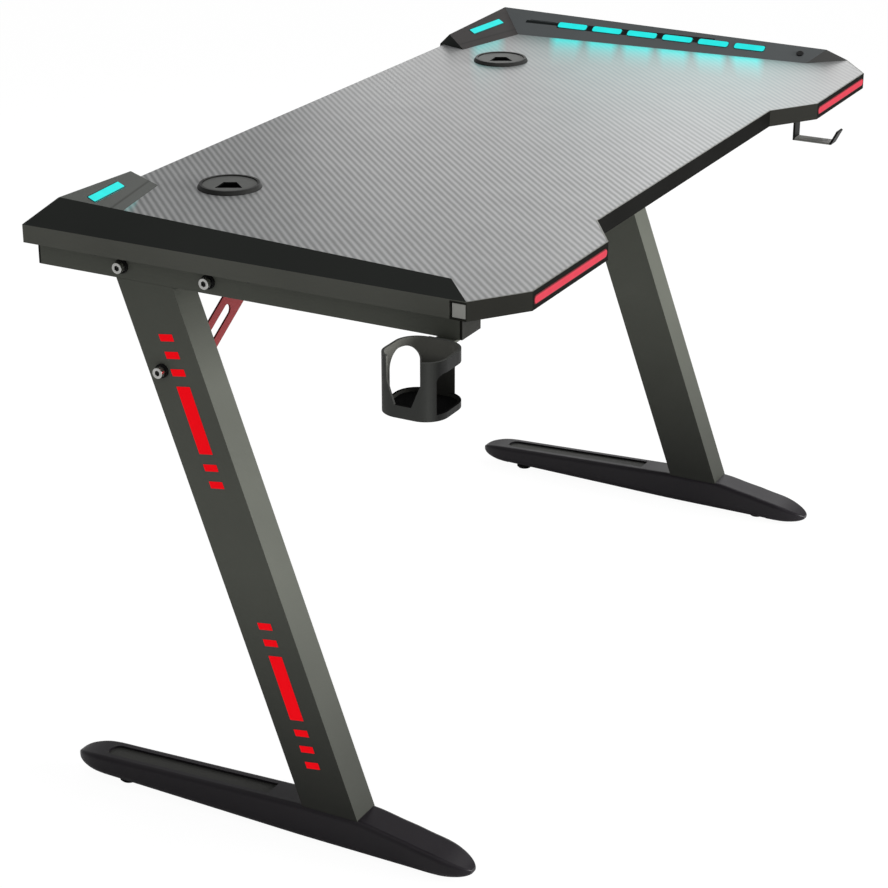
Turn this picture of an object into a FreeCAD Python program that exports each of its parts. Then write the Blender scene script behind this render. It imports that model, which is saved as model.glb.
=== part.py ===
import FreeCAD, Part
import math
import os

# A gaming desk: a board with a patterned laminate on two slanted legs, with lit side trims and corner pods,
# red light bars in the front edge, cable grommets, a cup holder, a headset hook and levelling feet.
# Sizes are in millimetres. +X is the user's right, +Y is the back, +Z is up, and the origin is on the floor
# under the middle of the desk. Pieces of both ends are built on the right and mirrored to the left.

# Tabletop
desk_width = 1200.0
desk_depth = 610.0
desk_height = 728.0
board_thickness = 21.0
laminate_thickness = 1.0
edge_band_thickness = 2.0
corner_cut_x = 63.0
corner_cut_y = 46.0
wing_length = 193.0
notch_run = 66.0
notch_depth = 43.5
plug_length = 16.0
plug_height = 16.0
plug_depth = 10.0
plug_margin = 1.0
plug_slot = 3.0

# Clearances
drop_in_gap = 0.2
turning_gap = 0.3
screw_gap = 0.1
stud_gap = 0.05

# Side trims: a hollow ridge that tapers towards the front, with a skirt over the board's end
trim_overhang = 8.0
trim_back_width = 79.0
trim_front_width = 45.0
trim_ridge_inset = 31.0
trim_ridge_height = 28.5
trim_nose_length = 27.0
trim_facet_setback = 20.0
trim_wall = 3.0
skirt_thickness = 3.0
skirt_lift = 0.5
skirt_setback = 20.0
groove_length = 42.0
groove_width = 2.0
groove_depth = 1.0
groove_from_back = 82.0
groove_rise = 0.63

# Corner pods at the two back corners
pod_length = 203.0
pod_end_run = 13.0
pod_end_height = 17.0
pod_end_slant = 18.0
pod_wall = 3.0

# Light windows
window_front_margin = 60.0
window_length = 48.0
window_height = 13.0
window_pitch = 56.0
window_from_back = 153.0
window_rise = 0.566
window_corner = 4.5
pod_window_length = 78.0
pod_window_height = 12.0
pod_window_from_end = 110.0
pod_window_rise = 0.66
pod_window_corner = 2.5
lens_proud = 0.6
lens_thickness = 4.6
led_strip_width = 8.0
led_strip_thickness = 1.2
led_strip_inset = 32.0
led_size = 5.0
led_height = 1.6

# Red light bars in the wings' front edges
bar_light_margin = 3.5
bar_light_height = 10.0
bar_light_groove = 8.0
bar_lens_thickness = 4.0

# Light button on the right trim, and the switch under it
button_radius = 5.0
button_from_front = 62.0
button_rise = 0.55
button_proud = 1.6
button_flange = 1.4
button_flange_thickness = 1.0
button_stem = 4.4
switch_size = 8.0
switch_height = 1.8

# Cable grommets
grommet_from_end = 238.0
grommet_from_back = 120.0
grommet_sleeve_radius = 31.0
grommet_sleeve_wall = 2.0
grommet_sleeve_below = 3.0
grommet_flange_radius = 39.0
grommet_flange_edge = 2.0
grommet_flange_height = 6.0
grommet_bevel = 2.5
grommet_seat_radius = 33.5
grommet_cap_thickness = 2.4
grommet_cap_skirt = 10.0
grommet_cap_wall = 2.0
slot_near_width = 33.0
slot_far_width = 16.0
slot_depth = 24.0
slot_near_shift = 5.0
slot_heading = 28.0

# Legs and top rails
leg_from_end = 16.0
leg_thickness = 42.0
leg_depth = 76.0
leg_foot_from_front = 197.0
leg_top_from_back = 108.0
leg_wall = 2.5
leg_plate = 5.0
rail_width = 43.0
rail_height = 28.0
rail_wall = 2.0
rail_front_setback = 59.0
rail_cap_thickness = 3.0
rail_cap_plug = 8.0

# Red stripes on the legs' outer faces, above and below a bare middle
stripe_thickness = 0.4
stripe_width = 19.0
stripe_tilt = 8.0
stripe_top_margin = 58.0
stripe_bottom_margin = 55.0
stripe_forward = 2.0
stripe_drift = 0.5
stripe_dash = 8.0
stripe_bar = 78.0
stripe_gap = 12.0

# Crossbeam between the rails
beam_depth = 46.0
beam_height = 25.0
beam_wall = 2.0
beam_plate_thickness = 4.0
beam_plate_margin = 17.0
cable_notch = 8.0

# Frame bolts, their collars and nuts
rail_bolt_from_back = 117.0
rail_bolt_spacing = 116.5
rail_bolt_from_bottom = 15.0
brace_bolt_drop = 103.0
brace_bolt_from_edge = 20.0
bolt_radius = 4.0
bolt_head_radius = 6.5
bolt_head_height = 8.0
bolt_socket_flats = 6.0
bolt_socket_depth = 4.0
collar_radius = 8.5
collar_thickness = 3.0
nut_flats = 13.0
nut_height = 6.5
bolt_spare_thread = 3.0

# Red braces from the legs to the crossbeam
brace_width = 38.0
brace_thickness = 2.5
brace_angle = 32.5
brace_foot_drop = 112.0
brace_tab_depth = 30.0
brace_tab_margin = 4.0
brace_screw_setback = 18.0
brace_plate_from_bolt = 11.5
brace_slot_width = 14.0
brace_slot_start = 24.0
brace_slot_end = 88.0

# Feet: a steel bar inside a plastic cover
foot_front_setback = 51.0
foot_back_overhang = 2.0
foot_width = 47.0
foot_side_lip = 3.0
foot_lift = 4.0
foot_height = 45.0
foot_shoulder = 6.0
foot_front_height = 20.0
foot_front_tip = 9.0
foot_back_height = 30.5
foot_back_rise = 6.0
foot_back_tip = 18.5
foot_nose = 48.0
foot_edge_round = 6.0
foot_low_round = 10.0
foot_station_spacing = 25.0
foot_nose_stations = 6
foot_wall = 3.0
foot_groove_from_leg = 53.0
foot_groove_back_margin = 45.0
foot_groove_width = 24.0
foot_groove_depth = 3.0
foot_bar_bottom = 12.5
foot_bar_height = 18.5
foot_bar_wall = 2.5
foot_bar_front_margin = 60.0
foot_bar_back_margin = 50.0
foot_bolt_spacing = 36.0
foot_bolt_head = 5.0

# Levelling glides
glide_from_bar_end = 22.0
glide_pad_radius = 12.0
glide_pad_height = 6.0
glide_pad_edge = 2.0
glide_socket_depth = 3.5
stud_radius = 4.0
stud_length = 24.5
stud_hex_flats = 13.0
stud_hex_height = 4.0
boss_radius = 9.0
boss_height = 10.0

# Small screws
screw_radius = 2.0
screw_head_radius = 4.0
screw_head_height = 2.6
board_screw_bite = 14.0
trim_screw_inset = 10.0
trim_screw_bite = 6.0
trim_boss_radius = 4.5
trim_screw_from_back = 95.0
trim_screw_spacing = 205.0
trim_screw_from_front = 72.0
pod_screw_inset = 110.0
pod_screw_from_back = 15.0
rail_screw_from_back = 45.0
rail_screw_from_bolt = 51.5
rail_screw_from_front = 70.0
beam_screw_from_end = 287.0

# Light controller under the board, with its inlet, cables and clips
controller_from_end = 90.0
controller_from_back = 45.0
controller_length = 90.0
controller_depth = 60.0
controller_height = 22.0
controller_wall = 2.0
controller_post = 4.0
circuit_thickness = 1.6
circuit_margin = 2.0
circuit_lift = 8.0
inlet_radius = 5.0
inlet_hole_radius = 2.8
inlet_length = 14.0
inlet_flange_radius = 7.5
inlet_flange = 2.0
cable_radius = 1.5
cable_bend = 9.0
cable_drop = 3.5
cable_pair_gap = 6.0
cable_from_rail = 13.0
cable_hole_radius = 6.0
clip_length = 10.0
clip_wall = 2.5
trunk_clip_spacing = 300.0
front_cable_run = 16.0
bar_well_setback = 26.0

# Cup holder on the left end
cup_half = 37.5
cup_corner = 26.0
cup_wall = 3.0
cup_height = 65.0
cup_rim_rise = 6.0
cup_from_front = 77.0
cup_end_gap = 3.5
cup_floor = 3.0
cup_tray_height = 7.0
cup_slot_sill = 14.0
cup_rim_band = 9.0
cup_slot_azimuth = 177.0
cup_slot_width = 41.0
cup_slot_low_width = 20.0
cup_slot_taper = 26.0
cup_back_window_azimuth = 62.0
cup_back_window_width = 43.0
cup_back_window_corner = 18.0
cup_front_window_azimuth = 279.5
cup_front_window_width = 64.0
cup_front_window_corner = 8.0
cup_front_band = 14.0
cup_pad_thickness = 1.5
cup_bracket_thickness = 3.0
cup_bracket_width = 24.0
cup_bracket_reach = 40.0
cup_bracket_drop = 36.0
cup_screw_spacing = 16.0
cup_screw_bite = 3.0
cup_screw_margin = 1.0

# Headset hook under the right wing
hook_from_end = 179.0
hook_width = 20.0
hook_thickness = 3.0
hook_stem_from_front = 55.0
hook_drop = 51.0
hook_arm = 54.0
hook_tip_rise = 18.0
hook_tip_run = 9.0
hook_plate_length = 38.0
hook_screw_places = (13.0, 28.0)

# Places worked out from the sizes above
half_width = desk_width / 2
back_y = desk_depth / 2
front_y = -back_y
corner_y = front_y + corner_cut_y
wing_outer_x = half_width - corner_cut_x
wing_inner_x = wing_outer_x - wing_length
notch_x = wing_inner_x - notch_run
notch_y = front_y + notch_depth
board_top = desk_height - laminate_thickness
board_bottom = board_top - board_thickness
board_end_x = half_width - skirt_thickness
skirt_bottom = board_bottom + skirt_lift
skirt_front_y = corner_y + skirt_setback
trim_back_y = back_y + trim_overhang
ridge_back_y = trim_back_y - trim_ridge_inset
ridge_front_y = corner_y + trim_nose_length
grommet_x = half_width - grommet_from_end
grommet_y = back_y - grommet_from_back
leg_outer_x = half_width - leg_from_end
leg_inner_x = leg_outer_x - leg_thickness
rail_inner_x = leg_outer_x - rail_width
rail_bottom = board_bottom - rail_height
rail_front_y = front_y + rail_front_setback
leg_top_front_y = back_y - leg_top_from_back - leg_depth
foot_front_y = front_y + foot_front_setback
foot_back_y = back_y + foot_back_overhang
foot_top = foot_lift + foot_height
leg_lean = math.atan2(leg_top_front_y - front_y - leg_foot_from_front, rail_bottom - foot_top)
foot_centre_x = leg_outer_x + foot_side_lip - foot_width / 2
foot_bar_top = foot_bar_bottom + foot_bar_height
foot_bar_front_y = foot_front_y + foot_bar_front_margin
foot_bar_back_y = foot_back_y - foot_bar_back_margin
foot_bar_width = foot_width - 2 * foot_wall
glide_places = (foot_bar_front_y + glide_from_bar_end, foot_bar_back_y - glide_from_bar_end)
rail_bolt_back_y = back_y - rail_bolt_from_back
rail_bolt_front_y = rail_bolt_back_y - rail_bolt_spacing
rail_bolt_z = rail_bottom + rail_bolt_from_bottom
beam_y = (rail_bolt_back_y + rail_bolt_front_y) / 2
beam_bottom = board_bottom - beam_height
beam_end_x = rail_inner_x - beam_plate_thickness
controller_outer_x = half_width - controller_from_end
controller_inner_x = controller_outer_x - controller_length
controller_back_y = back_y - controller_from_back
controller_front_y = controller_back_y - controller_depth
controller_bottom = board_bottom - controller_height
cable_z = board_bottom - cable_drop
trim_cable_y = controller_front_y + controller_depth / 2 - cable_pair_gap / 2
front_cable_y = trim_cable_y + cable_pair_gap
cable_side_x = rail_inner_x - cable_from_rail
bar_well_y = front_y + bar_well_setback
cup_x = -(half_width + cup_end_gap + cup_half)
cup_y = front_y + cup_from_front
cup_rim = rail_bottom + cup_rim_rise
cup_bottom = cup_rim - cup_height
hook_x = half_width - hook_from_end


def vector(x, y, z):
    return FreeCAD.Vector(x, y, z)


def box(x0, x1, y0, y1, z0, z1):
    return Part.makeBox(x1 - x0, y1 - y0, z1 - z0, vector(x0, y0, z0))


def rod(base, direction, radius, length):
    return Part.makeCylinder(radius, length, base, direction)


def face(points):
    return Part.Face(Part.makePolygon(points + points[:1]))


def plate(points, low, high):
    """A flat piece with a plan outline, from one height to another."""
    return face([vector(x, y, low) for x, y in points]).extrude(vector(0, 0, high - low))


def side_profile(points, x0, x1):
    """A piece with an outline in Y and Z that runs along X."""
    return face([vector(x0, y, z) for y, z in points]).extrude(vector(x1 - x0, 0, 0))


def polyhedron(faces):
    solid = Part.Solid(Part.Shell([face(points) for points in faces]))
    if solid.Volume < 0:
        solid.reverse()
    return solid


def fuse(first, *others):
    return first.fuse(list(others)).removeSplitter()


def mirrored(shape):
    return shape.mirror(vector(0, 0, 0), vector(1, 0, 0))


def hexagon(base, direction, flats, length):
    """A hexagonal prism; its sides are the given distance apart."""
    corner = flats / math.sqrt(3)
    points = []
    for step in range(6):
        angle = math.radians(60 * step)
        points.append(vector(corner * math.cos(angle), corner * math.sin(angle), 0))
    prism = face(points).extrude(vector(0, 0, length))
    prism.Placement = FreeCAD.Placement(base, FreeCAD.Rotation(vector(0, 0, 1), direction))
    return prism


def screw(seat, direction, length, radius=screw_radius):
    """A pan-headed screw whose head rests on the seat and whose shank runs along the direction."""
    shank = rod(seat, direction, radius, length)
    head = rod(seat, direction * -1, screw_head_radius, screw_head_height)
    return fuse(shank, head)


def screw_hole(seat, direction, length, radius=screw_radius):
    return rod(seat, direction, radius + screw_gap, length)


def inset_outline(points, insets):
    """A closed outline with each side moved inwards by its own distance; the points run anticlockwise."""
    lines = []
    for (x0, y0), (x1, y1), inset in zip(points, points[1:] + points[:1], insets):
        length = math.hypot(x1 - x0, y1 - y0)
        nx = (y0 - y1) / length
        ny = (x1 - x0) / length
        lines.append((nx, ny, nx * x0 + ny * y0 + inset))
    corners = []
    for (a, b, c), (d, e, f) in zip(lines[-1:] + lines[:-1], lines):
        size = a * e - b * d
        corners.append(((c * e - b * f) / size, (a * f - c * d) / size))
    return corners


def stadium(x, y0, y1, width, low, high):
    """An upright block along Y with half-round ends."""
    radius = width / 2
    body = box(x - radius, x + radius, y0 + radius, y1 - radius, low, high)
    ends = [rod(vector(x, y, low), vector(0, 0, 1), radius, high - low) for y in (y0 + radius, y1 - radius)]
    return fuse(body, *ends)


def rounded_block(length, height, corner, low, high):
    """A block centred on its own origin with its four upright edges rounded."""
    block = box(-length / 2, length / 2, -height / 2, height / 2, low, high)
    upright = [e for e in block.Edges if abs(e.tangentAt(e.FirstParameter).z) > 0.9]
    return block.makeFillet(corner, upright)


def placed(shape, origin, along, across, normal):
    """The shape carried from its own axes to the given ones."""
    turned = shape.copy()
    turned.Placement = FreeCAD.Placement(origin, FreeCAD.Rotation(along, across, normal, "ZXY"))
    return turned


def bend(before, corner, after, radius):
    """Start, middle and end of the arc that rounds a corner between two straight runs."""
    back = (before - corner).normalize()
    ahead = (after - corner).normalize()
    half_turn = back.getAngle(ahead) / 2
    cut = radius / math.tan(half_turn)
    middle = corner + (back + ahead).normalize() * (radius / math.sin(half_turn) - radius)
    return corner + back * cut, middle, corner + ahead * cut


def save(name, *solids):
    shape = solids[0] if len(solids) == 1 else Part.makeCompound(list(solids))
    shape.exportStep("parts/" + name + ".step")


def save_pair(name, right):
    save("right_" + name, right)
    save("left_" + name, mirrored(right))


def both_sides(solids):
    return list(solids) + [mirrored(solid) for solid in solids]


# Tabletop outline, anticlockwise from the back right corner
right_front = [(notch_x, notch_y), (wing_inner_x, front_y), (wing_outer_x, front_y), (half_width, corner_y)]
left_front = [(-x, y) for x, y in reversed(right_front)]
outline = [(half_width, back_y), (-half_width, back_y)] + left_front + right_front
front_sides = len(outline) - 3
board_outline = inset_outline(
    outline, [edge_band_thickness, skirt_thickness] + [edge_band_thickness] * front_sides + [skirt_thickness])
laminate_outline = inset_outline(
    outline, [0, skirt_thickness] + [edge_band_thickness] * front_sides + [skirt_thickness])


# Side trim: sections along its length are the same triangle at a changing scale
def trim_scale(y):
    slope = (1 - trim_front_width / trim_back_width) / (ridge_back_y - ridge_front_y)
    return 1 + slope * (y - ridge_back_y)


def trim_point(y, inset, rise):
    scale = trim_scale(y)
    return vector(half_width - inset * scale, y, desk_height + rise * scale)


def mitre_foot():
    """Where the trim's inner lower edge meets the pod's, on the 45 degree mitre through the back corner."""
    slope = trim_back_width * (trim_scale(1) - trim_scale(0))
    y = (trim_back_y - trim_back_width + slope * ridge_back_y) / (1 + slope)
    return trim_point(y, trim_back_width, 0)


back_corner = vector(half_width, trim_back_y, desk_height)
ridge_back = trim_point(ridge_back_y, trim_ridge_inset, trim_ridge_height)
ridge_front = trim_point(ridge_front_y, trim_ridge_inset, trim_ridge_height)
nose_tip = vector(half_width, corner_y, desk_height)
nose_foot = trim_point(ridge_front_y + trim_facet_setback, trim_back_width, 0)
inner_foot = mitre_foot()
trim_base = [nose_tip, nose_foot, inner_foot, back_corner]

# Corner pod: its back slope continues the trim's outer slope round the corner
pod_tip_x = half_width - pod_length
pod_end = vector(pod_tip_x + pod_end_slant, trim_back_y, desk_height)
pod_end_top = vector(
    pod_tip_x + pod_end_run,
    trim_back_y - pod_end_height * trim_ridge_inset / trim_ridge_height,
    desk_height + pod_end_height)
pod_normal = (ridge_back - inner_foot).cross(pod_end_top - inner_foot).normalize()
pod_foot_y = inner_foot.y - (pod_tip_x - inner_foot.x) * pod_normal.x / pod_normal.y
pod_foot = vector(pod_tip_x, pod_foot_y, desk_height)
pod_base = [inner_foot, back_corner, pod_end, pod_foot]

down_to_board = vector(0, 0, -laminate_thickness)


def trim_slope_axes(y, rise):
    """Origin and axes on the trim's inner slope: forwards along it, up it and square out of it."""
    inset = trim_back_width + rise * (trim_ridge_inset - trim_back_width)
    origin = trim_point(y, inset, rise * trim_ridge_height)
    along = (trim_point(y - 1, inset, rise * trim_ridge_height) - origin).normalize()
    up = ridge_back - inner_foot
    normal = along.cross(up).normalize()
    if normal.z < 0:
        normal = normal * -1
    return origin, along, normal.cross(along), normal


def pod_slope_axes():
    """Origin and axes on the pod's front slope, at the middle of its window."""
    x = half_width - pod_window_from_end
    low = inner_foot + (pod_foot - inner_foot) * ((inner_foot.x - x) / (inner_foot.x - pod_foot.x))
    high = ridge_back + (pod_end_top - ridge_back) * ((ridge_back.x - x) / (ridge_back.x - pod_end_top.x))
    origin = low + (high - low) * pod_window_rise
    along = ((pod_foot - inner_foot).normalize() + (pod_end_top - ridge_back).normalize()).normalize()
    normal = pod_normal if pod_normal.z > 0 else pod_normal * -1
    along = (along - normal * along.dot(normal)).normalize()
    return origin, along, normal.cross(along), normal


def window_places():
    """Window middles from the back, as many as fit before the nose."""
    first = trim_back_y - window_from_back
    count = 1 + int((first - nose_foot.y - window_front_margin) / window_pitch)
    return [first - step * window_pitch for step in range(count)]


def trim_window(y, gap, low, high):
    block = rounded_block(window_length + 2 * gap, window_height + 2 * gap, window_corner, low, high)
    return placed(block, *trim_slope_axes(y, window_rise))


def pod_window(gap, low, high):
    block = rounded_block(pod_window_length + 2 * gap, pod_window_height + 2 * gap, pod_window_corner,
                          low, high)
    return placed(block, *pod_slope_axes())


def trim_cavity():
    """The hollow inside the trim, open towards the board."""
    outer_side = math.hypot(trim_ridge_inset, trim_ridge_height)
    inner_side = math.hypot(trim_back_width - trim_ridge_inset, trim_ridge_height)
    middle = trim_back_width * outer_side / (outer_side + inner_side)
    shrink = 1 - trim_wall * outer_side / (middle * trim_ridge_height)
    corners = [
        (middle * (1 - shrink), 0),
        (middle + (trim_ridge_inset - middle) * shrink, trim_ridge_height * shrink),
        (middle + (trim_back_width - middle) * shrink, 0)]
    ends = (inner_foot.y - trim_wall, nose_foot.y + trim_wall)
    rings = [[trim_point(y, inset, rise) for inset, rise in corners] for y in ends]
    hollow = Part.makeLoft([Part.makePolygon(ring + ring[:1]) for ring in rings], True, True)
    mouth = face([rings[0][0], rings[0][2], rings[1][2], rings[1][0]]).extrude(down_to_board)
    return fuse(hollow, mouth)


def trim_screw_spots():
    x = half_width - trim_screw_inset
    first = trim_back_y - trim_screw_from_back
    ys = (first, first - trim_screw_spacing, corner_y + trim_screw_from_front)
    return [vector(x, y, board_bottom) for y in ys]


def pod_screw_spot():
    return vector(half_width - pod_screw_inset, back_y - pod_screw_from_back, board_bottom)


def screw_post(spot):
    """The room inside a moulding that stays solid round a screw from below."""
    return rod(vector(spot.x, spot.y, board_top), vector(0, 0, 1), trim_boss_radius, trim_ridge_height)


def trim_screw_hole(spot):
    return screw_hole(spot, vector(0, 0, 1), board_thickness + trim_screw_bite)


def back_lip():
    """The strip behind the board's back edge that the trim and the pod share, split by the mitre."""
    strip = box(pod_end.x, half_width, back_y, trim_back_y, skirt_bottom, desk_height)
    reach = trim_back_width + pod_length
    pod_side = plate(
        [(half_width, trim_back_y), (half_width - reach, trim_back_y),
         (half_width - reach, trim_back_y - reach)],
        skirt_bottom, desk_height)
    return strip.cut(pod_side), strip.common(pod_side)


def side_trim():
    body = polyhedron([
        [nose_tip, back_corner, ridge_back, ridge_front],
        [inner_foot, nose_foot, ridge_front, ridge_back],
        [nose_foot, nose_tip, ridge_front],
        [back_corner, inner_foot, ridge_back],
        trim_base])
    plinth = face(trim_base).extrude(down_to_board)
    envelope = fuse(body, plinth)
    skirt = box(board_end_x, half_width, skirt_front_y, back_y, skirt_bottom, desk_height)
    shell = envelope.cut(trim_cavity().cut([screw_post(spot) for spot in trim_screw_spots()]))
    shell = fuse(shell, skirt, back_lip()[0])
    windows = [trim_window(y, drop_in_gap, -lens_thickness, lens_thickness) for y in window_places()]
    groove_block = rounded_block(
        groove_length, groove_width, groove_width * 0.49, -groove_depth, groove_depth)
    groove_y = trim_back_y - groove_from_back - groove_length / 2
    groove = placed(groove_block, *trim_slope_axes(groove_y, groove_rise))
    return shell.cut(windows + [groove] + [trim_screw_hole(spot) for spot in trim_screw_spots()])


def corner_pod():
    body = polyhedron([
        [inner_foot, pod_foot, pod_end_top, ridge_back],
        [back_corner, ridge_back, pod_end_top, pod_end],
        [pod_foot, pod_end, pod_end_top],
        [inner_foot, ridge_back, back_corner],
        pod_base])
    plinth = face(pod_base).extrude(down_to_board)
    envelope = fuse(body, plinth)
    middle = (inner_foot + back_corner + pod_end + pod_foot) * 0.25
    shrink = 1 - pod_wall / abs((middle - inner_foot).dot(pod_normal))
    mouth = [middle + (corner - middle) * shrink for corner in pod_base]
    cavity = fuse(body.scaled(shrink, middle), face(mouth).extrude(down_to_board))
    shell = fuse(envelope.cut(cavity.cut(screw_post(pod_screw_spot()))), back_lip()[1])
    window = pod_window(drop_in_gap, -lens_thickness, lens_thickness)
    return shell.cut([window, trim_screw_hole(pod_screw_spot())])


def trim_lenses():
    return [trim_window(y, 0, lens_proud - lens_thickness, lens_proud) for y in window_places()]


def pod_lens():
    return pod_window(0, lens_proud - lens_thickness, lens_proud)


def trim_led_strip():
    places = window_places()
    x = half_width - led_strip_inset
    strip = box(x - led_strip_width / 2, x + led_strip_width / 2, places[-1] - window_length / 2,
                places[0] + window_length / 2, board_top, board_top + led_strip_thickness)
    base = board_top + led_strip_thickness
    half = led_size / 2
    leds = [box(x - half, x + half, y - half, y + half, base, base + led_height)
            for y in places]
    return fuse(strip, *leds)


# Light button
button_y = corner_y + button_from_front
button_axes = trim_slope_axes(button_y, button_rise)
button_origin = button_axes[0]
button_out = button_axes[3]


def button():
    cap_length = button_stem + button_proud
    cap = rod(button_origin + button_out * -button_stem, button_out, button_radius, cap_length)
    flange_top = trim_wall + turning_gap
    flange = rod(button_origin + button_out * -(flange_top + button_flange_thickness), button_out,
                 button_radius + button_flange, button_flange_thickness)
    rim = [e for e in cap.Edges if e.CenterOfMass.sub(button_origin).dot(button_out) > button_proud - 0.1
           and e.Length > button_radius * 6]
    return fuse(cap.makeFillet(button_proud / 2, rim), flange)


def button_hole():
    base = button_origin + button_out * -(2 * trim_wall)
    return rod(base, button_out, button_radius + turning_gap, 4 * trim_wall)


def light_switch():
    middle = button_origin + button_out * -button_stem
    half = switch_size / 2
    top = board_top + switch_height
    return box(middle.x - half, middle.x + half, middle.y - half, middle.y + half, board_top, top)


# Red light bars
bar_light_length = wing_length - 2 * bar_light_margin
bar_light_x = (wing_outer_x + wing_inner_x) / 2
bar_light_z = board_top - board_thickness / 2


def bar_light(gap, y0, y1):
    """A pill-shaped block in a wing's front edge."""
    radius = bar_light_height / 2 + gap
    half = bar_light_length / 2 - bar_light_height / 2
    body = box(bar_light_x - half, bar_light_x + half, y0, y1, bar_light_z - radius, bar_light_z + radius)
    ends = [rod(vector(bar_light_x + side * half, y0, bar_light_z), vector(0, 1, 0), radius, y1 - y0)
            for side in (-1, 1)]
    return fuse(body, *ends)


def bar_led_strip():
    half = bar_light_length / 2 - bar_light_height
    groove_end = front_y + bar_light_groove
    return box(bar_light_x - half, bar_light_x + half, groove_end - led_strip_thickness, groove_end,
               bar_light_z - led_strip_width / 2, bar_light_z + led_strip_width / 2)


# Holes in the board for screws and cables
def rail_screw_spots():
    x = leg_outer_x - rail_width / 2
    ys = (back_y - rail_screw_from_back, rail_bolt_front_y - rail_screw_from_bolt,
          rail_front_y + rail_screw_from_front)
    return [vector(x, y, rail_bottom) for y in ys]


def beam_screw_spots():
    spacing = beam_end_x - beam_screw_from_end
    return [vector(step * spacing, beam_y, beam_bottom) for step in (-1, 0, 1)]


def controller_screw_spots():
    inset = controller_wall + controller_post / 2
    xs = (controller_inner_x + inset, controller_outer_x - inset)
    ys = (controller_front_y + inset, controller_back_y - inset)
    return [vector(x, y, controller_bottom) for x in xs for y in ys]


def hook_screw_spots():
    y = front_y + hook_stem_from_front
    return [vector(hook_x, y + place, board_bottom - hook_thickness) for place in hook_screw_places]


def board_screws():
    """Seat, direction and length of every screw that bites into the board."""
    up = vector(0, 0, 1)
    rail = [(spot, up, rail_height + board_screw_bite) for spot in rail_screw_spots()]
    rail += [(vector(-spot.x, spot.y, spot.z), up, length) for spot, up, length in rail]
    beam = [(spot, up, beam_height + board_screw_bite) for spot in beam_screw_spots()]
    return rail + beam


def cable_hole_x():
    return cable_side_x + cable_bend - cable_hole_radius / 2


def front_cable_x():
    return cable_side_x - front_cable_run


def grommet_holes(radius, low, high):
    up = vector(0, 0, 1)
    return [rod(vector(x, grommet_y, low), up, radius, high - low) for x in (grommet_x, -grommet_x)]


def edge_plug():
    y = corner_y + plug_margin
    half = plug_height / 2
    return box(half_width - plug_depth, half_width, y, y + plug_length,
               bar_light_z - half, bar_light_z + half)


def edge_plug_pocket():
    """Room for the plug, with an open slot left behind it."""
    y = corner_y + plug_margin
    half = plug_height / 2 + drop_in_gap
    return box(half_width - plug_depth - drop_in_gap, half_width, y - drop_in_gap,
               y + plug_length + plug_slot, bar_light_z - half, bar_light_z + half)


def bar_well():
    """The bent hole through which a front light's cable goes up into the board and on to its groove."""
    radius = cable_radius + drop_in_gap
    x = front_cable_x()
    height = bar_light_z - board_bottom + radius
    rise = rod(vector(x, bar_well_y, board_bottom), vector(0, 0, 1), radius, height)
    groove_back = front_y + bar_light_groove
    run = rod(vector(x, groove_back, bar_light_z), vector(0, 1, 0), radius, bar_well_y - groove_back)
    return fuse(rise, run)


def desktop_board():
    board = plate(board_outline, board_bottom, board_top)
    up = vector(0, 0, 1)
    cuts = grommet_holes(grommet_sleeve_radius + drop_in_gap, board_bottom, board_top)
    cuts += both_sides([edge_plug_pocket(), bar_light(drop_in_gap, front_y, front_y + bar_light_groove)])
    cuts += [screw_hole(*one) for one in board_screws()]
    cuts += both_sides([trim_screw_hole(spot) for spot in trim_screw_spots() + [pod_screw_spot()]])
    case_length = controller_height + board_screw_bite
    cuts += [screw_hole(spot, up, case_length) for spot in controller_screw_spots()]
    cuts += [screw_hole(spot, up, hook_thickness + board_screw_bite) for spot in hook_screw_spots()]
    cable_spot = vector(cable_hole_x(), trim_cable_y, board_bottom)
    cable_well = rod(cable_spot, up, cable_hole_radius, board_thickness)
    return board.cut(cuts + both_sides([cable_well, bar_well()]))


def laminate():
    sheet = plate(laminate_outline, board_top, desk_height)
    cuts = grommet_holes(grommet_flange_radius + drop_in_gap, board_top, desk_height)
    cuts += both_sides([face(trim_base).extrude(down_to_board), face(pod_base).extrude(down_to_board)])
    return sheet.cut(cuts)


def front_edge_band():
    band = plate(outline, board_bottom, desk_height).cut(plate(board_outline, board_bottom, desk_height))
    front = box(-half_width, half_width, front_y, skirt_front_y, board_bottom, desk_height)
    cuts = both_sides([
        edge_plug_pocket(),
        bar_light(drop_in_gap, front_y, front_y + bar_light_groove),
        face(trim_base).extrude(down_to_board)])
    return band.common(front).cut(cuts)


def back_edge_band():
    return box(-board_end_x, board_end_x, back_y - edge_band_thickness, back_y, board_bottom, board_top)


# Grommets
def grommet_ring():
    inner = grommet_sleeve_radius - grommet_sleeve_wall
    low = board_bottom - grommet_sleeve_below
    seat = board_top + grommet_flange_edge
    top = board_top + grommet_flange_height
    profile = [
        (inner, low), (grommet_sleeve_radius, low), (grommet_sleeve_radius, board_top),
        (grommet_flange_radius, board_top), (grommet_flange_radius, seat),
        (grommet_flange_radius - grommet_bevel, top), (grommet_seat_radius, top), (grommet_seat_radius, seat),
        (inner, seat)]
    section = face([vector(radius, 0, z) for radius, z in profile])
    ring = section.revolve(vector(0, 0, 0), vector(0, 0, 1), 360)
    ring.translate(vector(grommet_x, grommet_y, 0))
    return ring


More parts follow.
